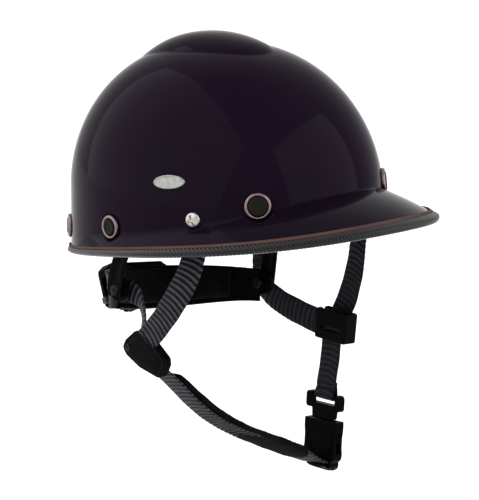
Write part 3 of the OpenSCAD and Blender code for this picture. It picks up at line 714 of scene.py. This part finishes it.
low_n = arr([[0, 1, 0], [0, 1, 0], [0, 1, 0], [0, 1, 0.3], [0, 1, 0.2], [0, 1, 0], [0, 0.7, 0.7], [0, 0, 1],
             [0, -0.7, 0.7], [0, -1, 0], [0, -1, 0.1], [0, -1, 0.1], [0, -1, 0]]) @ BUCKLE[:3, :3].T
web("left_lower_web", low, low_n, SW, ST, "left_lower_strap", "plug", phase=11, ruche=0.1, curl=0.1,
    mat=M["webbing_far_shaded"])


# ------------------------------------------------------------ moulded parts
def plate(outline, y0, y1, m=None):
    """A solid from an outline in (x, z), between y0 and y1."""
    p, f = prism(outline, -y1, -y0)
    p = xform(p, rot("X", 90))
    return (p if m is None else xform(p, m)), f


def slab(x0, x1, y0, y1, z0, z1, m=None):
    return plate([(x0, z0), (x1, z0), (x1, z1), (x0, z1)], y0, y1, m)


def carve(ob, adds=(), cuts=()):
    """Joins and cuts plain solids, then keeps only the result."""
    tools = []
    for kind, group in (("UNION", adds), ("DIFFERENCE", cuts)):
        for k, (p, f) in enumerate(group):
            me = bpy.data.meshes.new("tool")
            me.from_pydata([tuple(q) for q in np.asarray(p) * MM], [], f)
            t = bpy.data.objects.new("tool", me)
            bpy.context.scene.collection.objects.link(t)
            mod = ob.modifiers.new("carve", "BOOLEAN")
            mod.operation = kind
            mod.solver = "EXACT"
            mod.object = t
            tools.append(t)
    bpy.context.view_layer.update()
    dg = bpy.context.evaluated_depsgraph_get()
    me = bpy.data.meshes.new_from_object(ob.evaluated_get(dg))
    ob.modifiers.clear()
    ob.data = me
    for t in tools:
        bpy.data.objects.remove(t)
    return ob


def moulded(name, base, mat, body, nodes=(), adds=(), cuts=(), edge=0.5, seg=3):
    p, f = base
    ob = make(name, p, f, M[mat], None, shade=True)
    if adds or cuts:
        carve(ob, adds, cuts)
    me = ob.data
    me.polygons.foreach_set("use_smooth", [True] * len(me.polygons))
    me.set_sharp_from_angle(angle=math.radians(35))
    if edge:
        bevel(ob, edge, seg, 35)
        ob.modifiers["edge"].harden_normals = True
    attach(ob, body)
    if nodes:
        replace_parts(ob, *nodes)
    return ob


# ------------------------------------------------------------ buckle
sock = rounded([(-12, -48.5), (12, -48.5), (12.6, -44.5), (15.4, -41.6), (16, -37.5), (15.3, -33),
    (15.3, -25),
                (16, -20), (16, -12.8), (-16, -12.8), (-16, -20), (-15.3, -25), (-15.3, -33), (-16, -37.5),
                (-15.4, -41.6), (-12.6, -44.5)], [1.8, 1.8, 2, 2, 2, 2, 2, 2, 1.2, 1.2, 2, 2, 2, 2, 2, 2], 4)
ribs_ = []
for side in (-1, 1):
    for k in range(4):
        z = -16.8 - 2.1 * k
        y0, y1 = sorted((side * 4.3, side * 4.75))
        ribs_.append(slab(-8 + k * 0.9, 8 - k * 0.9, y0, y1, z - 0.45, z + 0.45, BUCKLE))
oval = [(9.5 * math.cos(t), -32.5 + 5.2 * math.sin(t)) for t in np.linspace(0, 2 * math.pi, 40,
    endpoint=False)]
moulded("buckle_socket_shell", plate(sock, -4.4, 4.4, BUCKLE), "buckle_plastic", "helmet", ["buckle_socket"],
        adds=ribs_,
        cuts=[slab(-12.6, 12.6, -2.1, 2.1, -39, -10, BUCKLE), slab(-20, 20, -2.1, 2.1, -37, -21.4, BUCKLE),
              plate(rounded([(-10.4, -46.4), (10.4, -46.4), (10.4, -42.8), (-10.4, -42.8)], 0.9), -6, 6,
                  BUCKLE),
              plate(oval, -6, -4.05, BUCKLE), plate(oval, 4.05, 6, BUCKLE)], edge=0.45)
frame_o = rounded([(-15.8, -5), (15.8, -5), (17, -3), (17, 5), (15.6, 7), (-15.6, 7), (-17, 5),
    (-17, -3)], 1.2, 4)
moulded("buckle_plug_frame", plate(frame_o, -3, 3, BUCKLE), "buckle_plastic", "plug", ["buckle_plug"],
        adds=[plate(rounded([(-10.4, -12), (10.4, -12), (11, -4.5), (-11, -4.5)], [1.4, 1.4, 0, 0]), -2.6,
            2.6, BUCKLE),
              plate(rounded([(-1.6, -32), (1.6, -32), (2, -11), (-2, -11)], [1.2, 1.2, 0, 0]), -1.6, 1.6,
                  BUCKLE)],
        cuts=[plate(rounded([(-12, -0.8), (12, -0.8), (12, 4.4), (-12, 4.4)], 1.0), -6, 6, BUCKLE),
              slab(-11.2, 11.2, 1.1, 6, 3, 12, BUCKLE), slab(-11.2, 11.2, -6, -1.1, 3, 12, BUCKLE)],
                  edge=0.45)
for side, body in ((1, "front"), (-1, "rear")):
    o = [(10.2, -13.6), (6.8, -13.6), (6.8, -31), (7.2, -36), (10.1, -34), (14.6, -29), (15.4, -25),
        (13.6, -22.6),
         (10.2, -22.4)]
    o = o if side > 0 else [(-x, z) for x, z in o[::-1]]
    grip = [slab(*sorted((side * 14.6, side * 15.6)), -1.9, 1.9, -24.6 - 1.5 * k, -24.0 - 1.5 * k, BUCKLE)
            for k in range(3)]
    moulded(body + "_prong_arm", plate(rounded(o, 0.9, 3), -1.6, 1.6, BUCKLE), "buckle_plastic",
        "prong_" + body,
            [body + "_prong"], adds=grip, edge=0.35)

# ------------------------------------------------------------ slider and junction
SL = move(21.2, 88, -83) @ rot("X", -4) @ rot("Y", 3)
so = rounded([(-15.6, -12), (15.6, -12), (15.6, 11), (-15.6, 11)], 2.2, 5)
moulded("slider_frame", plate(so, -7.4, 4.0, SL), "black_plastic", "slider", ["left_slider"],
        cuts=[slab(-13.4, 13.4, -6.2, 2.8, -20, 20, SL), slab(-20, -8, -3.4, 0.8, -20, 20, SL),
              plate(rounded([(-10.5, -4.6), (10.5, -4.6), (10.5, -1.2), (-10.5, -1.2)], 1.2), -10, -5.5, SL),
              plate(rounded([(-10.5, 2.0), (10.5, 2.0), (10.5, 5.4), (-10.5, 5.4)], 1.2), 2, 8, SL)],
                  edge=0.7)

JO = arr([[-22, -77], [-19, -71], [-8, -62], [8, -69], [21, -79], [21.5, -84], [16.5, -94], [-4.5, -89],
          [-18, -82]])[::-1]
JR = rounded(JO, [4, 4, 4, 3, 4, 5, 5, 4, 4], 6)


def cushion_plate(name, outline, y_out, y_in, mat, body, nodes, puff=1.1):
    """A sewn pocket: rings from the outline in to the middle, thick inside the seam."""
    o = arr(outline)
    c = o.mean(0)
    rows_ = [(1.0, 0.5, 0), (1.005, 0.25, 0), (0.995, 0.06, 0), (0.96, 0.0, 0.0), (0.9, 0.02, -0.25),
        (0.87, 0.03, -0.3),
             (0.84, 0.02, -0.1), (0.74, 0, 0.55), (0.58, 0, 0.9), (0.38, 0, 1.0), (0.18, 0, 1.0)]
    pts, n = [], len(o)
    for sgn in (1, -1):
        for k, dep, up in (rows_ if sgn > 0 else rows_[::-1]):
            ring = c + (o - c) * k
            wav = 0.12 * np.sin(ring[:, 0] * 0.9 + ring[:, 1] * 0.5) + 0.1 * np.sin(ring[:, 1] * 1.3)
            edge_y = y_out + (y_in - y_out) * dep if sgn > 0 else y_in - (y_in - y_out) * dep
            y = edge_y - sgn * (up * puff + wav * max(0, up))
            pts.append(np.c_[ring[:, 0], y, ring[:, 1]])
    pts = np.concatenate(pts)
    m = len(rows_) * 2
    f = []
    for r in range(m - 1):
        for i in range(n):
            j = (i + 1) % n
            f.append([r * n + i, (r + 1) * n + i, (r + 1) * n + j, r * n + j])
    f += [list(range(n)), [(m - 1) * n + i for i in range(n)][::-1]]
    # the rows above run outside to middle, then middle to outside, so start from the middle
    order = list(range(len(rows_)))[::-1] + list(range(len(rows_), m))[::-1]
    pts = pts.reshape(m, n, 3)[order].reshape(-1, 3)
    ob = make(name, pts, f, mat, body)
    if nodes:
        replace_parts(ob, *nodes)
    return ob


def stitches(name, path, nrm, mat, body, pitch=2.6, long=1.7, thick=0.32):
    """A row of sewn stitches along a path."""
    p, (nn,), s = resample(arr(path), [arr(nrm)], pitch)
    tg, u, v = basis(p, nn)
    parts = []
    a = np.linspace(0, 2 * math.pi, 6, endpoint=False)
    for q, t_, u_, v_ in zip(p, tg, u, v):
        rows_ = []
        for k, (x, r) in enumerate([(-0.5, 0.15), (-0.35, 0.8), (0, 1), (0.35, 0.8), (0.5, 0.15)]):
            rows_.append(q + t_ * x * long + (u_ * np.cos(a)[:, None] + v_ * np.sin(a)[:, None]) * thick * r
                         - v_ * (abs(x) * 0.5))
        P_ = np.concatenate(rows_)
        parts.append((P_, grid_faces(5, 6, close_v=True) + [list(range(6))[::-1], list(range(24, 30))]))
    P_, F_ = join_parts(parts)
    return make(name, P_, F_, mat, body)


M["dark_steel"] = metal("dark_steel", (0.012, 0.012, 0.013), 0.5, False)
M["junction_leather"] = plastic("junction_leather", (0.0015, 0.0015, 0.0017), 0.42, 0.9, 0.3, 2.2)
M["thread"] = plastic("thread", (0.01, 0.01, 0.011), 0.7, 0.3, 0.3, 2.0)
cushion_plate("junction_pocket", JR, -92.2, -84.2, M["junction_leather"], "helmet", ["right_junction"])
loop_ = np.r_[JR, JR[:1]]
loop_ = JO.mean(0) + (loop_ - JO.mean(0)) * 0.885
stitches("junction_stitches", np.c_[loop_[:, 0], np.full(len(loop_), -92.1), loop_[:, 1]],
         np.tile([0, -1.0, 0], (len(loop_), 1)), M["thread"], "helmet")
rp, rf = lathe([(0.01, -1.2), (2.7, -1.2), (2.75, 0.2), (2.4, 0.75), (1.7, 1.05), (1.2, 1.0), (0.8, 0.75),
    (0.01, 0.7)], 36)
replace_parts(make("junction_rivet_head", xform(rp, move(-14.6, -92.9, -76) @ rot("X", 90)), rf,
    M["dark_steel"], "helmet",
                 auto=50), "junction_rivet")


# ------------------------------------------------------------ swept bands
def band(name, path, nrm, w, t, mat, body, nodes=(), r=0.6, step=1.6, per=6, shape=None,
    grow=None):
    """A moulded or padded strip with rounded edges; shape(s, x) lifts the outer face, grow(s) scales its width."""
    ww = np.full((len(path), 1), float(w)) if np.isscalar(w) else arr(w)[:, None]
    p, (nn, wd), s = resample(catmull(path, per), [catmull(nrm, per), catmull(ww, per)], step)
    tg, u, v = basis(p, nn)
    k = r / wd.mean()
    xs = np.r_[-0.5, -0.5 + k * 0.3, -0.5 + k, np.linspace(-0.5 + 1.6 * k, 0.5 - 1.6 * k, 15), 0.5 - k,
        0.5 - k * 0.3, 0.5]
    hs = np.r_[t / 2 - r, t / 2 - r * 0.3, t / 2, np.full(15, t / 2), t / 2, t / 2 - r * 0.3, t / 2 - r]
    ring = np.r_[np.c_[xs, -hs, -np.ones(len(xs))], np.c_[xs[::-1], hs[::-1], np.ones(len(xs))]]
    n, m = len(p), len(ring)
    g = np.ones(n) if grow is None else grow(s / s[-1])
    lift = np.zeros((n, m))
    if shape is not None:
        lift = shape(s[:, None] / s[-1], ring[None, :, 0] * 2, s[:, None]) * ring[None, :, 2]
    pts = p[:, None] + u[:, None] * (ring[None, :, :1] * (wd * g[:, None])[..., None]) \
        + v[:, None] * (ring[None, :, 1:2] + lift[..., None])
    F_ = grid_faces(n, m, close_v=True) + [list(range(m))[::-1], [(n - 1) * m + q for q in range(m)]]
    uv = np.stack([np.tile(s[:, None], (1, m)), ring[None, :, 0] * wd], -1).reshape(-1, 2)
    ob = make(name, pts.reshape(-1, 3), F_, mat, body, uv=uv, auto=50)
    if nodes:
        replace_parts(ob, *nodes)
    return ob


def puff(ob, body, slot, nodes, fill=0.7, voxel=3.0, pressure=3.0, cap=1.3, frames=12):
    me0 = ob.data
    rm = ob.modifiers.new("remesh", "REMESH")
    rm.mode = "VOXEL"
    rm.voxel_size = voxel * MM
    bpy.context.view_layer.update()
    dg = bpy.context.evaluated_depsgraph_get()
    me = bpy.data.meshes.new_from_object(ob.evaluated_get(dg))
    ob.modifiers.clear()
    ob.data = me
    me.materials.clear()
    me.materials.append(me0.materials[0])
    n = len(me.vertices)
    co0 = np.zeros(n * 3)
    me.vertices.foreach_get("co", co0)
    cl = ob.modifiers.new("swell", "CLOTH")
    cl.settings.use_pressure = True
    cl.settings.uniform_pressure_force = pressure
    cl.settings.effector_weights.gravity = 0
    cl.settings.quality = 4
    cl.settings.tension_stiffness = 30
    cl.settings.bending_stiffness = 2
    cl.point_cache.frame_start = 1
    cl.point_cache.frame_end = frames
    scn = bpy.context.scene
    for fr in range(1, frames + 1):
        scn.frame_set(fr)
    dg = bpy.context.evaluated_depsgraph_get()
    ev = ob.evaluated_get(dg).to_mesh()
    co = np.zeros(n * 3)
    ev.vertices.foreach_get("co", co)
    d = (co - co0).reshape(-1, 3)
    ln = np.linalg.norm(d, axis=1, keepdims=True)
    d *= np.minimum(1, cap * MM / np.maximum(ln, 1e-9))
    ob.modifiers.clear()
    me.vertices.foreach_set("co", (co0.reshape(-1, 3) + d).ravel())
    me.update()
    scn.frame_set(1)
    ob.data.polygons.foreach_set("use_smooth", [True] * len(ob.data.polygons))
    sm = ob.modifiers.new("soft", "SUBSURF")
    sm.levels = sm.render_levels = 1
    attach(ob, body)
    if nodes:
        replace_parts(ob, *nodes)
    return ob


# ------------------------------------------------------------ cradle
def cradle_pt(a, dz, g=0.0):
    a = math.radians(a)
    return [-32 - (62 + g) * math.cos(a), (75 + g) * math.sin(a), -59 + 7 * math.sin(a) ** 2 + dz]


def cradle_n(a):
    a = math.radians(a)
    return list(unit([-math.cos(a) / 62, math.sin(a) / 75, -0.0075 * math.cos(a) ** 2]))


def cradle_w(a, w):
    return w * (1 - 0.28 * math.sin(math.radians(a)) ** 2)


R3 = HANG[:3, :3]
ca = list(range(-78, 79, 6))
cn = arr([cradle_n(a) for a in ca]) @ R3.T
edge_rib = lambda s01, x, s: np.where(np.abs(x) > 0.8, 0.55, 0.0) + 0.5 * np.exp(-((x - 0.1) / 0.09) ** 2)
band("nape_cradle_moulding", xform([cradle_pt(a, 0) for a in ca], HANG), cn,
    [cradle_w(a, 33) for a in ca], 2.4,
     M["black_plastic"], "cradle", ["nape_cradle"], r=0.8, shape=edge_rib)
bosses = []
for side in (-1, 1):
    p_, f_ = lathe([(2.6, -1.5), (8.3, -1.5), (9, -0.9), (9, 0.9), (8.3, 1.5), (6.6, 1.5), (6.2, 1.1),
        (5.2, 1.1), (4.8, 1.5),
                    (2.6, 1.5)], 48)
    F2 = HANG @ move(-43, 75.2 * side, -50) @ rot("X", -90 * side)
    bosses.append((xform(p_, F2), f_))
P, F = join_parts(bosses)
make("cradle_bosses", P, F, M["black_plastic"], "cradle", auto=40)
pa = list(range(-62, 63, 6))
pn = arr([cradle_n(a) for a in pa]) @ R3.T
quilt = lambda s01, x, s: 0.9 * (1 - x ** 2) * (0.45 + 0.55 * np.abs(np.sin(s * math.pi / 26)) ** 0.5) - 0.5
pad_ = band("nape_pad_quilted", xform([cradle_pt(a, 1.6, -5) for a in pa], HANG), pn,
            [cradle_w(a, 27.5) for a in pa], 5.4, M["pad_fabric"], None, r=2.0, shape=quilt)
puff(pad_, "cradle", "pad_fabric", ["nape_pad"], 0.75, 2.6, 2.5, 0.7)


def side_path(side):
    z = -50 - 75.2 * side * math.sin(math.radians(7))
    return [[-18, 79.6 * side, 18], [-24, 79.6 * side, 4], [-36, 79.3 * side, -14], [-43, 78.6 * side, z + 6],
            [-43.4, 78.5 * side, z - 4]]


for side in (-1, 1):
    band("side_arm_" + ("right" if side < 0 else "left"), side_path(side), [[0, side, 0]] * 5,
        [15, 14, 13, 15, 13], 2.2,
         M["black_plastic"], "helmet", ["side_arms"], r=0.7,
         shape=lambda s01, x, s: -0.5 * np.exp(-(x / 0.45) ** 4) * smooth(s01, 0.05,
             0.15) * (1 - smooth(s01, 0.8, 0.9)))
pins = []
for side in (-1, 1):
    p_, f_ = lathe([(0.01, 66.6), (3.6, 66.6), (4, 67), (4, 67.5), (2.5, 67.7), (2.5, 80), (4, 80.1),
        (4, 80.6), (3.5, 81),
                    (1.2, 81.05), (0.8, 80.6), (0.01, 80.6)], 40)
    pins.append((xform(p_, HANG @ move(-43, 0, -50) @ rot("X", -90 * side)), f_))
P, F = join_parts(pins)
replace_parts(make("cradle_pins_turned", P, F, M["dark_steel"], "helmet", auto=40), "cradle_pins")

# ------------------------------------------------------------ ratchet
RT = RATCHET


def plate_x(outline, x0, x1, m):
    """A solid from an outline in (y, z), between x0 and x1."""
    p, f = prism(outline, x0, x1)
    q = p[:, [2, 0, 1]]
    return xform(q, m), f


ho = rounded([(-32, -11), (-28, -13), (28, -13), (32, -11), (32, 16), (26, 20), (-26, 20), (-32, 16)], 2.5, 4)
moulded("ratchet_housing_body", plate_x(ho, -11, -0.8, RT), "black_plastic", "cradle", ["ratchet_housing"],
        cuts=[slab(-8, -3, -40, 40, -10, 10, RT)], edge=0.8)
co_ = rounded([(-30, -9), (-24, -12), (24, -12), (30, -9), (30, 15), (23, 19), (-23, 19), (-30, 15)], 2.5, 4)
lines = [slab(-13.5, -13.0, -26 + 52 * (i > 2) - (i % 3) * 2.4 * (1 if i > 2 else -1),
              -25 + 52 * (i > 2) - (i % 3) * 2.4 * (1 if i > 2 else -1), -5, 11, RT) for i in range(6)]
moulded("ratchet_cover_plate", plate_x(co_, -13.2, -11.2, RT), "black_plastic", "cradle", ["ratchet_cover"],
        adds=lines, edge=0.5)
a = np.linspace(0, 2 * math.pi, 16 * 14, endpoint=False)
wave_ = np.clip(np.cos(a * 16), 0, 1) ** 0.8
prof = [(0.35, 0.2, 0), (0.93, 0.2, 1), (1.0, 0.8, 1), (1.0, 6.6, 1), (0.97, 7.7, 0.9), (0.9, 8.4, 0.6),
    (0.8, 8.6, 0.2),
        (0.7, 8.45, 0), (0.66, 7.9, 0), (0.3, 7.7, 0), (0.25, 8.2, 0), (0.21, 8.2, 0), (0.2, 6.7, 0),
            (0.0005, 6.6, 0)]
pts = arr([[(14 * k - 1.1 * c * g) * math.cos(t), (14 * k - 1.1 * c * g) * math.sin(t), z]
           for t, g in zip(a, wave_) for k, z, c in prof])
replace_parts(make("ratchet_knob_scalloped", xform(pts, RT @ move(-13.6, 0, 0) @ rot("Y", -90)),
                 grid_faces(len(a), len(prof), close_u=True), M["black_plastic"], "knob",
                     auto=40),
            "ratchet_knob")

# ------------------------------------------------------------ liner and suspension
L0, L1 = T + 0.6, T + 11.0
kk = np.r_[NBR + np.linspace(0.16, 0.985, 60) * (NDO - 1)]
la = np.linspace(0, 2 * math.pi, 240, endpoint=False)
LA, LK = np.meshgrid(la, kk, indexing="ij")
lo_ = surface(LA, LK, NBR, NDO)
e1, e2 = 0.004, 1.0
ln_ = unit(np.cross(surface(LA + e1, LK, NBR, NDO) - surface(LA - e1, LK, NBR, NDO),
                    surface(LA, LK + e2, NBR, NDO) - surface(LA, LK - e2, NBR, NDO)))
groove = 2.2 * np.exp(-((np.mod(LA * 12 / (2 * math.pi) + 0.5, 1) - 0.5) / 0.07) ** 2)
groove = groove + 1.8 * np.exp(-((LK - NBR - 62) / 2.5) ** 2) + 1.8 * np.exp(-((LK - NBR - 104) / 2.5) ** 2)
edge_in = 3.0 * np.exp(-((LK - LK.min()) / 1.2))
Po = lo_ - ln_ * L0
Pi = lo_ - ln_ * (L1 - np.minimum(groove, 2.6) - edge_in)[..., None]
nl = len(kk)
P = np.concatenate([Po.reshape(-1, 3), Pi.reshape(-1, 3)])
F = grid_faces(240, nl, close_u=True) + [[240 * nl + q for q in f] for f in grid_faces(240, nl,
    close_u=True, flip=True)]
for i in range(240):
    j = (i + 1) % 240
    F.append([j * nl, i * nl, 240 * nl + i * nl, 240 * nl + j * nl])
F.append([240 * nl + i * nl + nl - 1 for i in range(240)][::-1])
F.append([i * nl + nl - 1 for i in range(240)])
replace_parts(make("impact_liner_foam", P, F, M["foam"], "helmet", auto=50), "impact_liner")


def loop_pt(a, z, g=0.0):
    t = math.radians(a)
    return [(97 + g) * math.cos(t), (77 + g) * math.sin(t), z + 0.12 * 97 * math.cos(t)]


def loop_n(a):
    t = math.radians(a)
    return [math.cos(t) / 97, math.sin(t) / 77, 0]


for k, (a0, top_z) in enumerate([(30, 112), (90, 110.4), (150, 108.8)]):
    r0 = loop_pt(a0, 35, -2)
    pts = []
    for i in range(23):
        t = math.radians(-90 + 180 * i / 22)
        c = float(spow(np.sin(t), 0.9)) * 0.95
        sg = float(np.sign(np.sin(t)))
        b0 = 35 + 0.12 * r0[0] * sg * 0.95
        pts.append([r0[0] * c, r0[1] * c, b0 + (top_z - b0) * max(0, math.cos(t)) ** 0.8])
    nr_ = [list(unit([q[0], q[1], (q[2] - 35) * 0.9 + 2])) for q in pts]
    web("crown_web_%d" % k, pts, nr_, 20, 1.1, "crown_webbing", "helmet", per=4, ruche=0.08, curl=0.1,
        phase=3 * k,
        mat=M["crown_web"])
ha = list(range(-156, 157, 6))
dimple = lambda s01, x, s: -0.35 * np.exp(-(x / 0.55) ** 6) * (0.5 + 0.5 * np.cos(s * 2 * math.pi / 16)) ** 4 \
    + 0.3 * (np.abs(x) > 0.88)
band("headband_strip", [loop_pt(a, 16) for a in ha], [loop_n(a) for a in ha], 30, 1.8, M["black_plastic"],
    "helmet",
     ["headband"], r=0.5, shape=dimple, step=1.2)
ba = list(range(-66, 67, 6))
cells = lambda s01, x, s: 0.8 * (1 - x ** 2) * (0.4 + 0.6 * np.abs(np.sin(s * math.pi / 21)) ** 0.5) - 0.4
brow = band("brow_pad_sewn", [loop_pt(a, 13, -3.6) for a in ba], [loop_n(a) for a in ba], 29.5, 3.8,
            M["brow_leather"], None, r=1.6, shape=cells)
puff(brow, "helmet", "brow_leather", ["brow_pad"], 0.7, 2.6, 2.5, 0.6)
parts = []
for a0 in (-150, -90, -30, 30, 90, 150):
    n_ = loop_n(a0)
    f = move(*loop_pt(a0, 24, 2.1)) @ rot("Z", math.degrees(math.atan2(n_[1], n_[0])))
    o = rounded([(-9, -9), (9, -9), (9, 9.8), (-9, 9.8)], [3, 3, 1, 1], 5)
    parts.append((plate_x(o, -0.6, 1.8, f), (plate_x(rounded([(-9, 8.4), (9, 8.4), (9, 9.8), (-9, 9.8)],
        0.4), -9, 1.8, f))))
for k, (a_, b_) in enumerate(parts):
    moulded("hanger_clip_%d" % k, a_, "black_plastic", "helmet", ["hanger_clips"], adds=[b_], edge=0.45,
        seg=2)
pp, pf = lathe([(0.01, 0), (26, 0.1), (29.5, 0.4), (31.6, 1.4), (32.2, 2.6), (31.4, 3.8), (28, 5.0),
    (20, 5.7), (10, 6.1),
                (0.01, 6.2)], 72)
cp = make("crown_pad_cushion", xform(pp, move(0, 0, 98.2)), pf, M["pad_fabric"], None)
puff(cp, "helmet", "pad_fabric", ["crown_pad"], 0.7, 2.6, 2.5, 0.5)
for k, s_ in enumerate(SCREWS):
    f = wall_frame(*s_)
    o = rounded([(-8, -11.5), (12, -11.5), (12, 11.5), (-8, 11.5)], 3, 5)
    p_, f_ = prism(o, -9, -6.6)
    moulded("strap_anchor_%d" % k, (xform(p_, f), f_), "black_plastic", "helmet", ["strap_anchors"], edge=0.6)
parts = []
for s_ in FRONT + REAR:
    p_, f_ = lathe([(4, 0), (6.6, 0), (7, 0.3), (7, 1.3), (6.6, 1.6), (4, 1.6)], 40)
    parts.append((xform(p_, wall_frame(*s_) @ move(0, 0, -8.2 if s_ == REAR[1] else -5.4)), f_))
P, F = join_parts(parts)
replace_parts(make("rivet_washers_pressed", P, F, M["steel"], "helmet", auto=40), "rivet_washers")

# sleeve round the chin strap
cpts = np.r_[arr(CHIN)[2:8], [[16.2, 56, -179.4]]]
cnrm = unit(np.r_[arr(CHIN_N)[2:8], [[0.3, -0.33, -1]]])
cpts = cpts - cnrm * arr([3.9, 3.9, 3.4, 2.0, 1.2, 1.0, 1.0])[:, None]
sleeve = band("chin_pad_sleeve", cpts, cnrm, [20, 22, 22.5, 22.8, 22.8, 22.5, 21], 5.2, M["pad_fabric"],
    None, r=1.8, per=8,
              shape=lambda s01, x, s: 0.8 * (1 - x ** 2) - 0.3 + 0.15 * np.sin(s / 3.4 + x),
              grow=lambda t: 0.8 + 0.2 * np.minimum(smooth(t, 0, 0.08), 1 - smooth(t, 0.96, 1)))
puff(sleeve, "helmet", "pad_fabric", ["chin_pad"], 0.65, 2.2, 2.5, 0.6)

# ------------------------------------------------------------ floor, light, camera
bpy.ops.mesh.primitive_plane_add(size=30, location=(0, 0, -0.24))
floor = bpy.context.object
floor.name = "floor"
floor_mat, *_ = new_mat("floor_pale", (0.95, 0.95, 0.95), 0.9, 0.0)
floor.data.materials.append(floor_mat)

world = bpy.data.worlds.new("studio")
bpy.context.scene.world = world
world.use_nodes = True
wnt = world.node_tree
bg = wnt.nodes["Background"]
bg.inputs["Color"].default_value = (1, 1, 1, 1)
bg.inputs["Strength"].default_value = 1.0


def area(name, loc, target, size, power, shape="RECTANGLE"):
    li = bpy.data.lights.new(name, "AREA")
    li.shape = shape
    li.size, li.size_y = size
    li.energy = power
    ob = bpy.data.objects.new(name, li)
    bpy.context.scene.collection.objects.link(ob)
    ob.location = loc
    ob.rotation_euler = (Vector(target) - Vector(loc)).to_track_quat("-Z", "Y").to_euler()
    ob.visible_camera = False
    return ob


area("soft_box", (-1.1, -1.85, 1.15), (0, 0, 0), (6.4, 4.4), 110)
area("front_panel", (2.0, 0.85, 0.62), (0, 0, 0), (3.2, 2.9), 55)

AZ, EL, DIST = math.radians(45), math.radians(12.2), 2.8
right = Vector((math.cos(AZ), math.sin(AZ), 0))
out = Vector((math.sin(AZ) * math.cos(EL), -math.cos(AZ) * math.cos(EL), math.sin(EL)))
up = out.cross(right)
aim = right * 0.0040 - up * 0.0157
cam = bpy.data.cameras.new("camera")
cam.sensor_width = 36
cam.lens = 36 * DIST / (500 / 1370.0)
cam.clip_end = 50
camera = bpy.data.objects.new("camera", cam)
bpy.context.scene.collection.objects.link(camera)
camera.location = aim + out * DIST
camera.rotation_euler = Matrix((right, up, out)).transposed().to_euler()
bpy.context.scene.camera = camera
bpy.context.scene.view_settings.view_transform = "Standard"
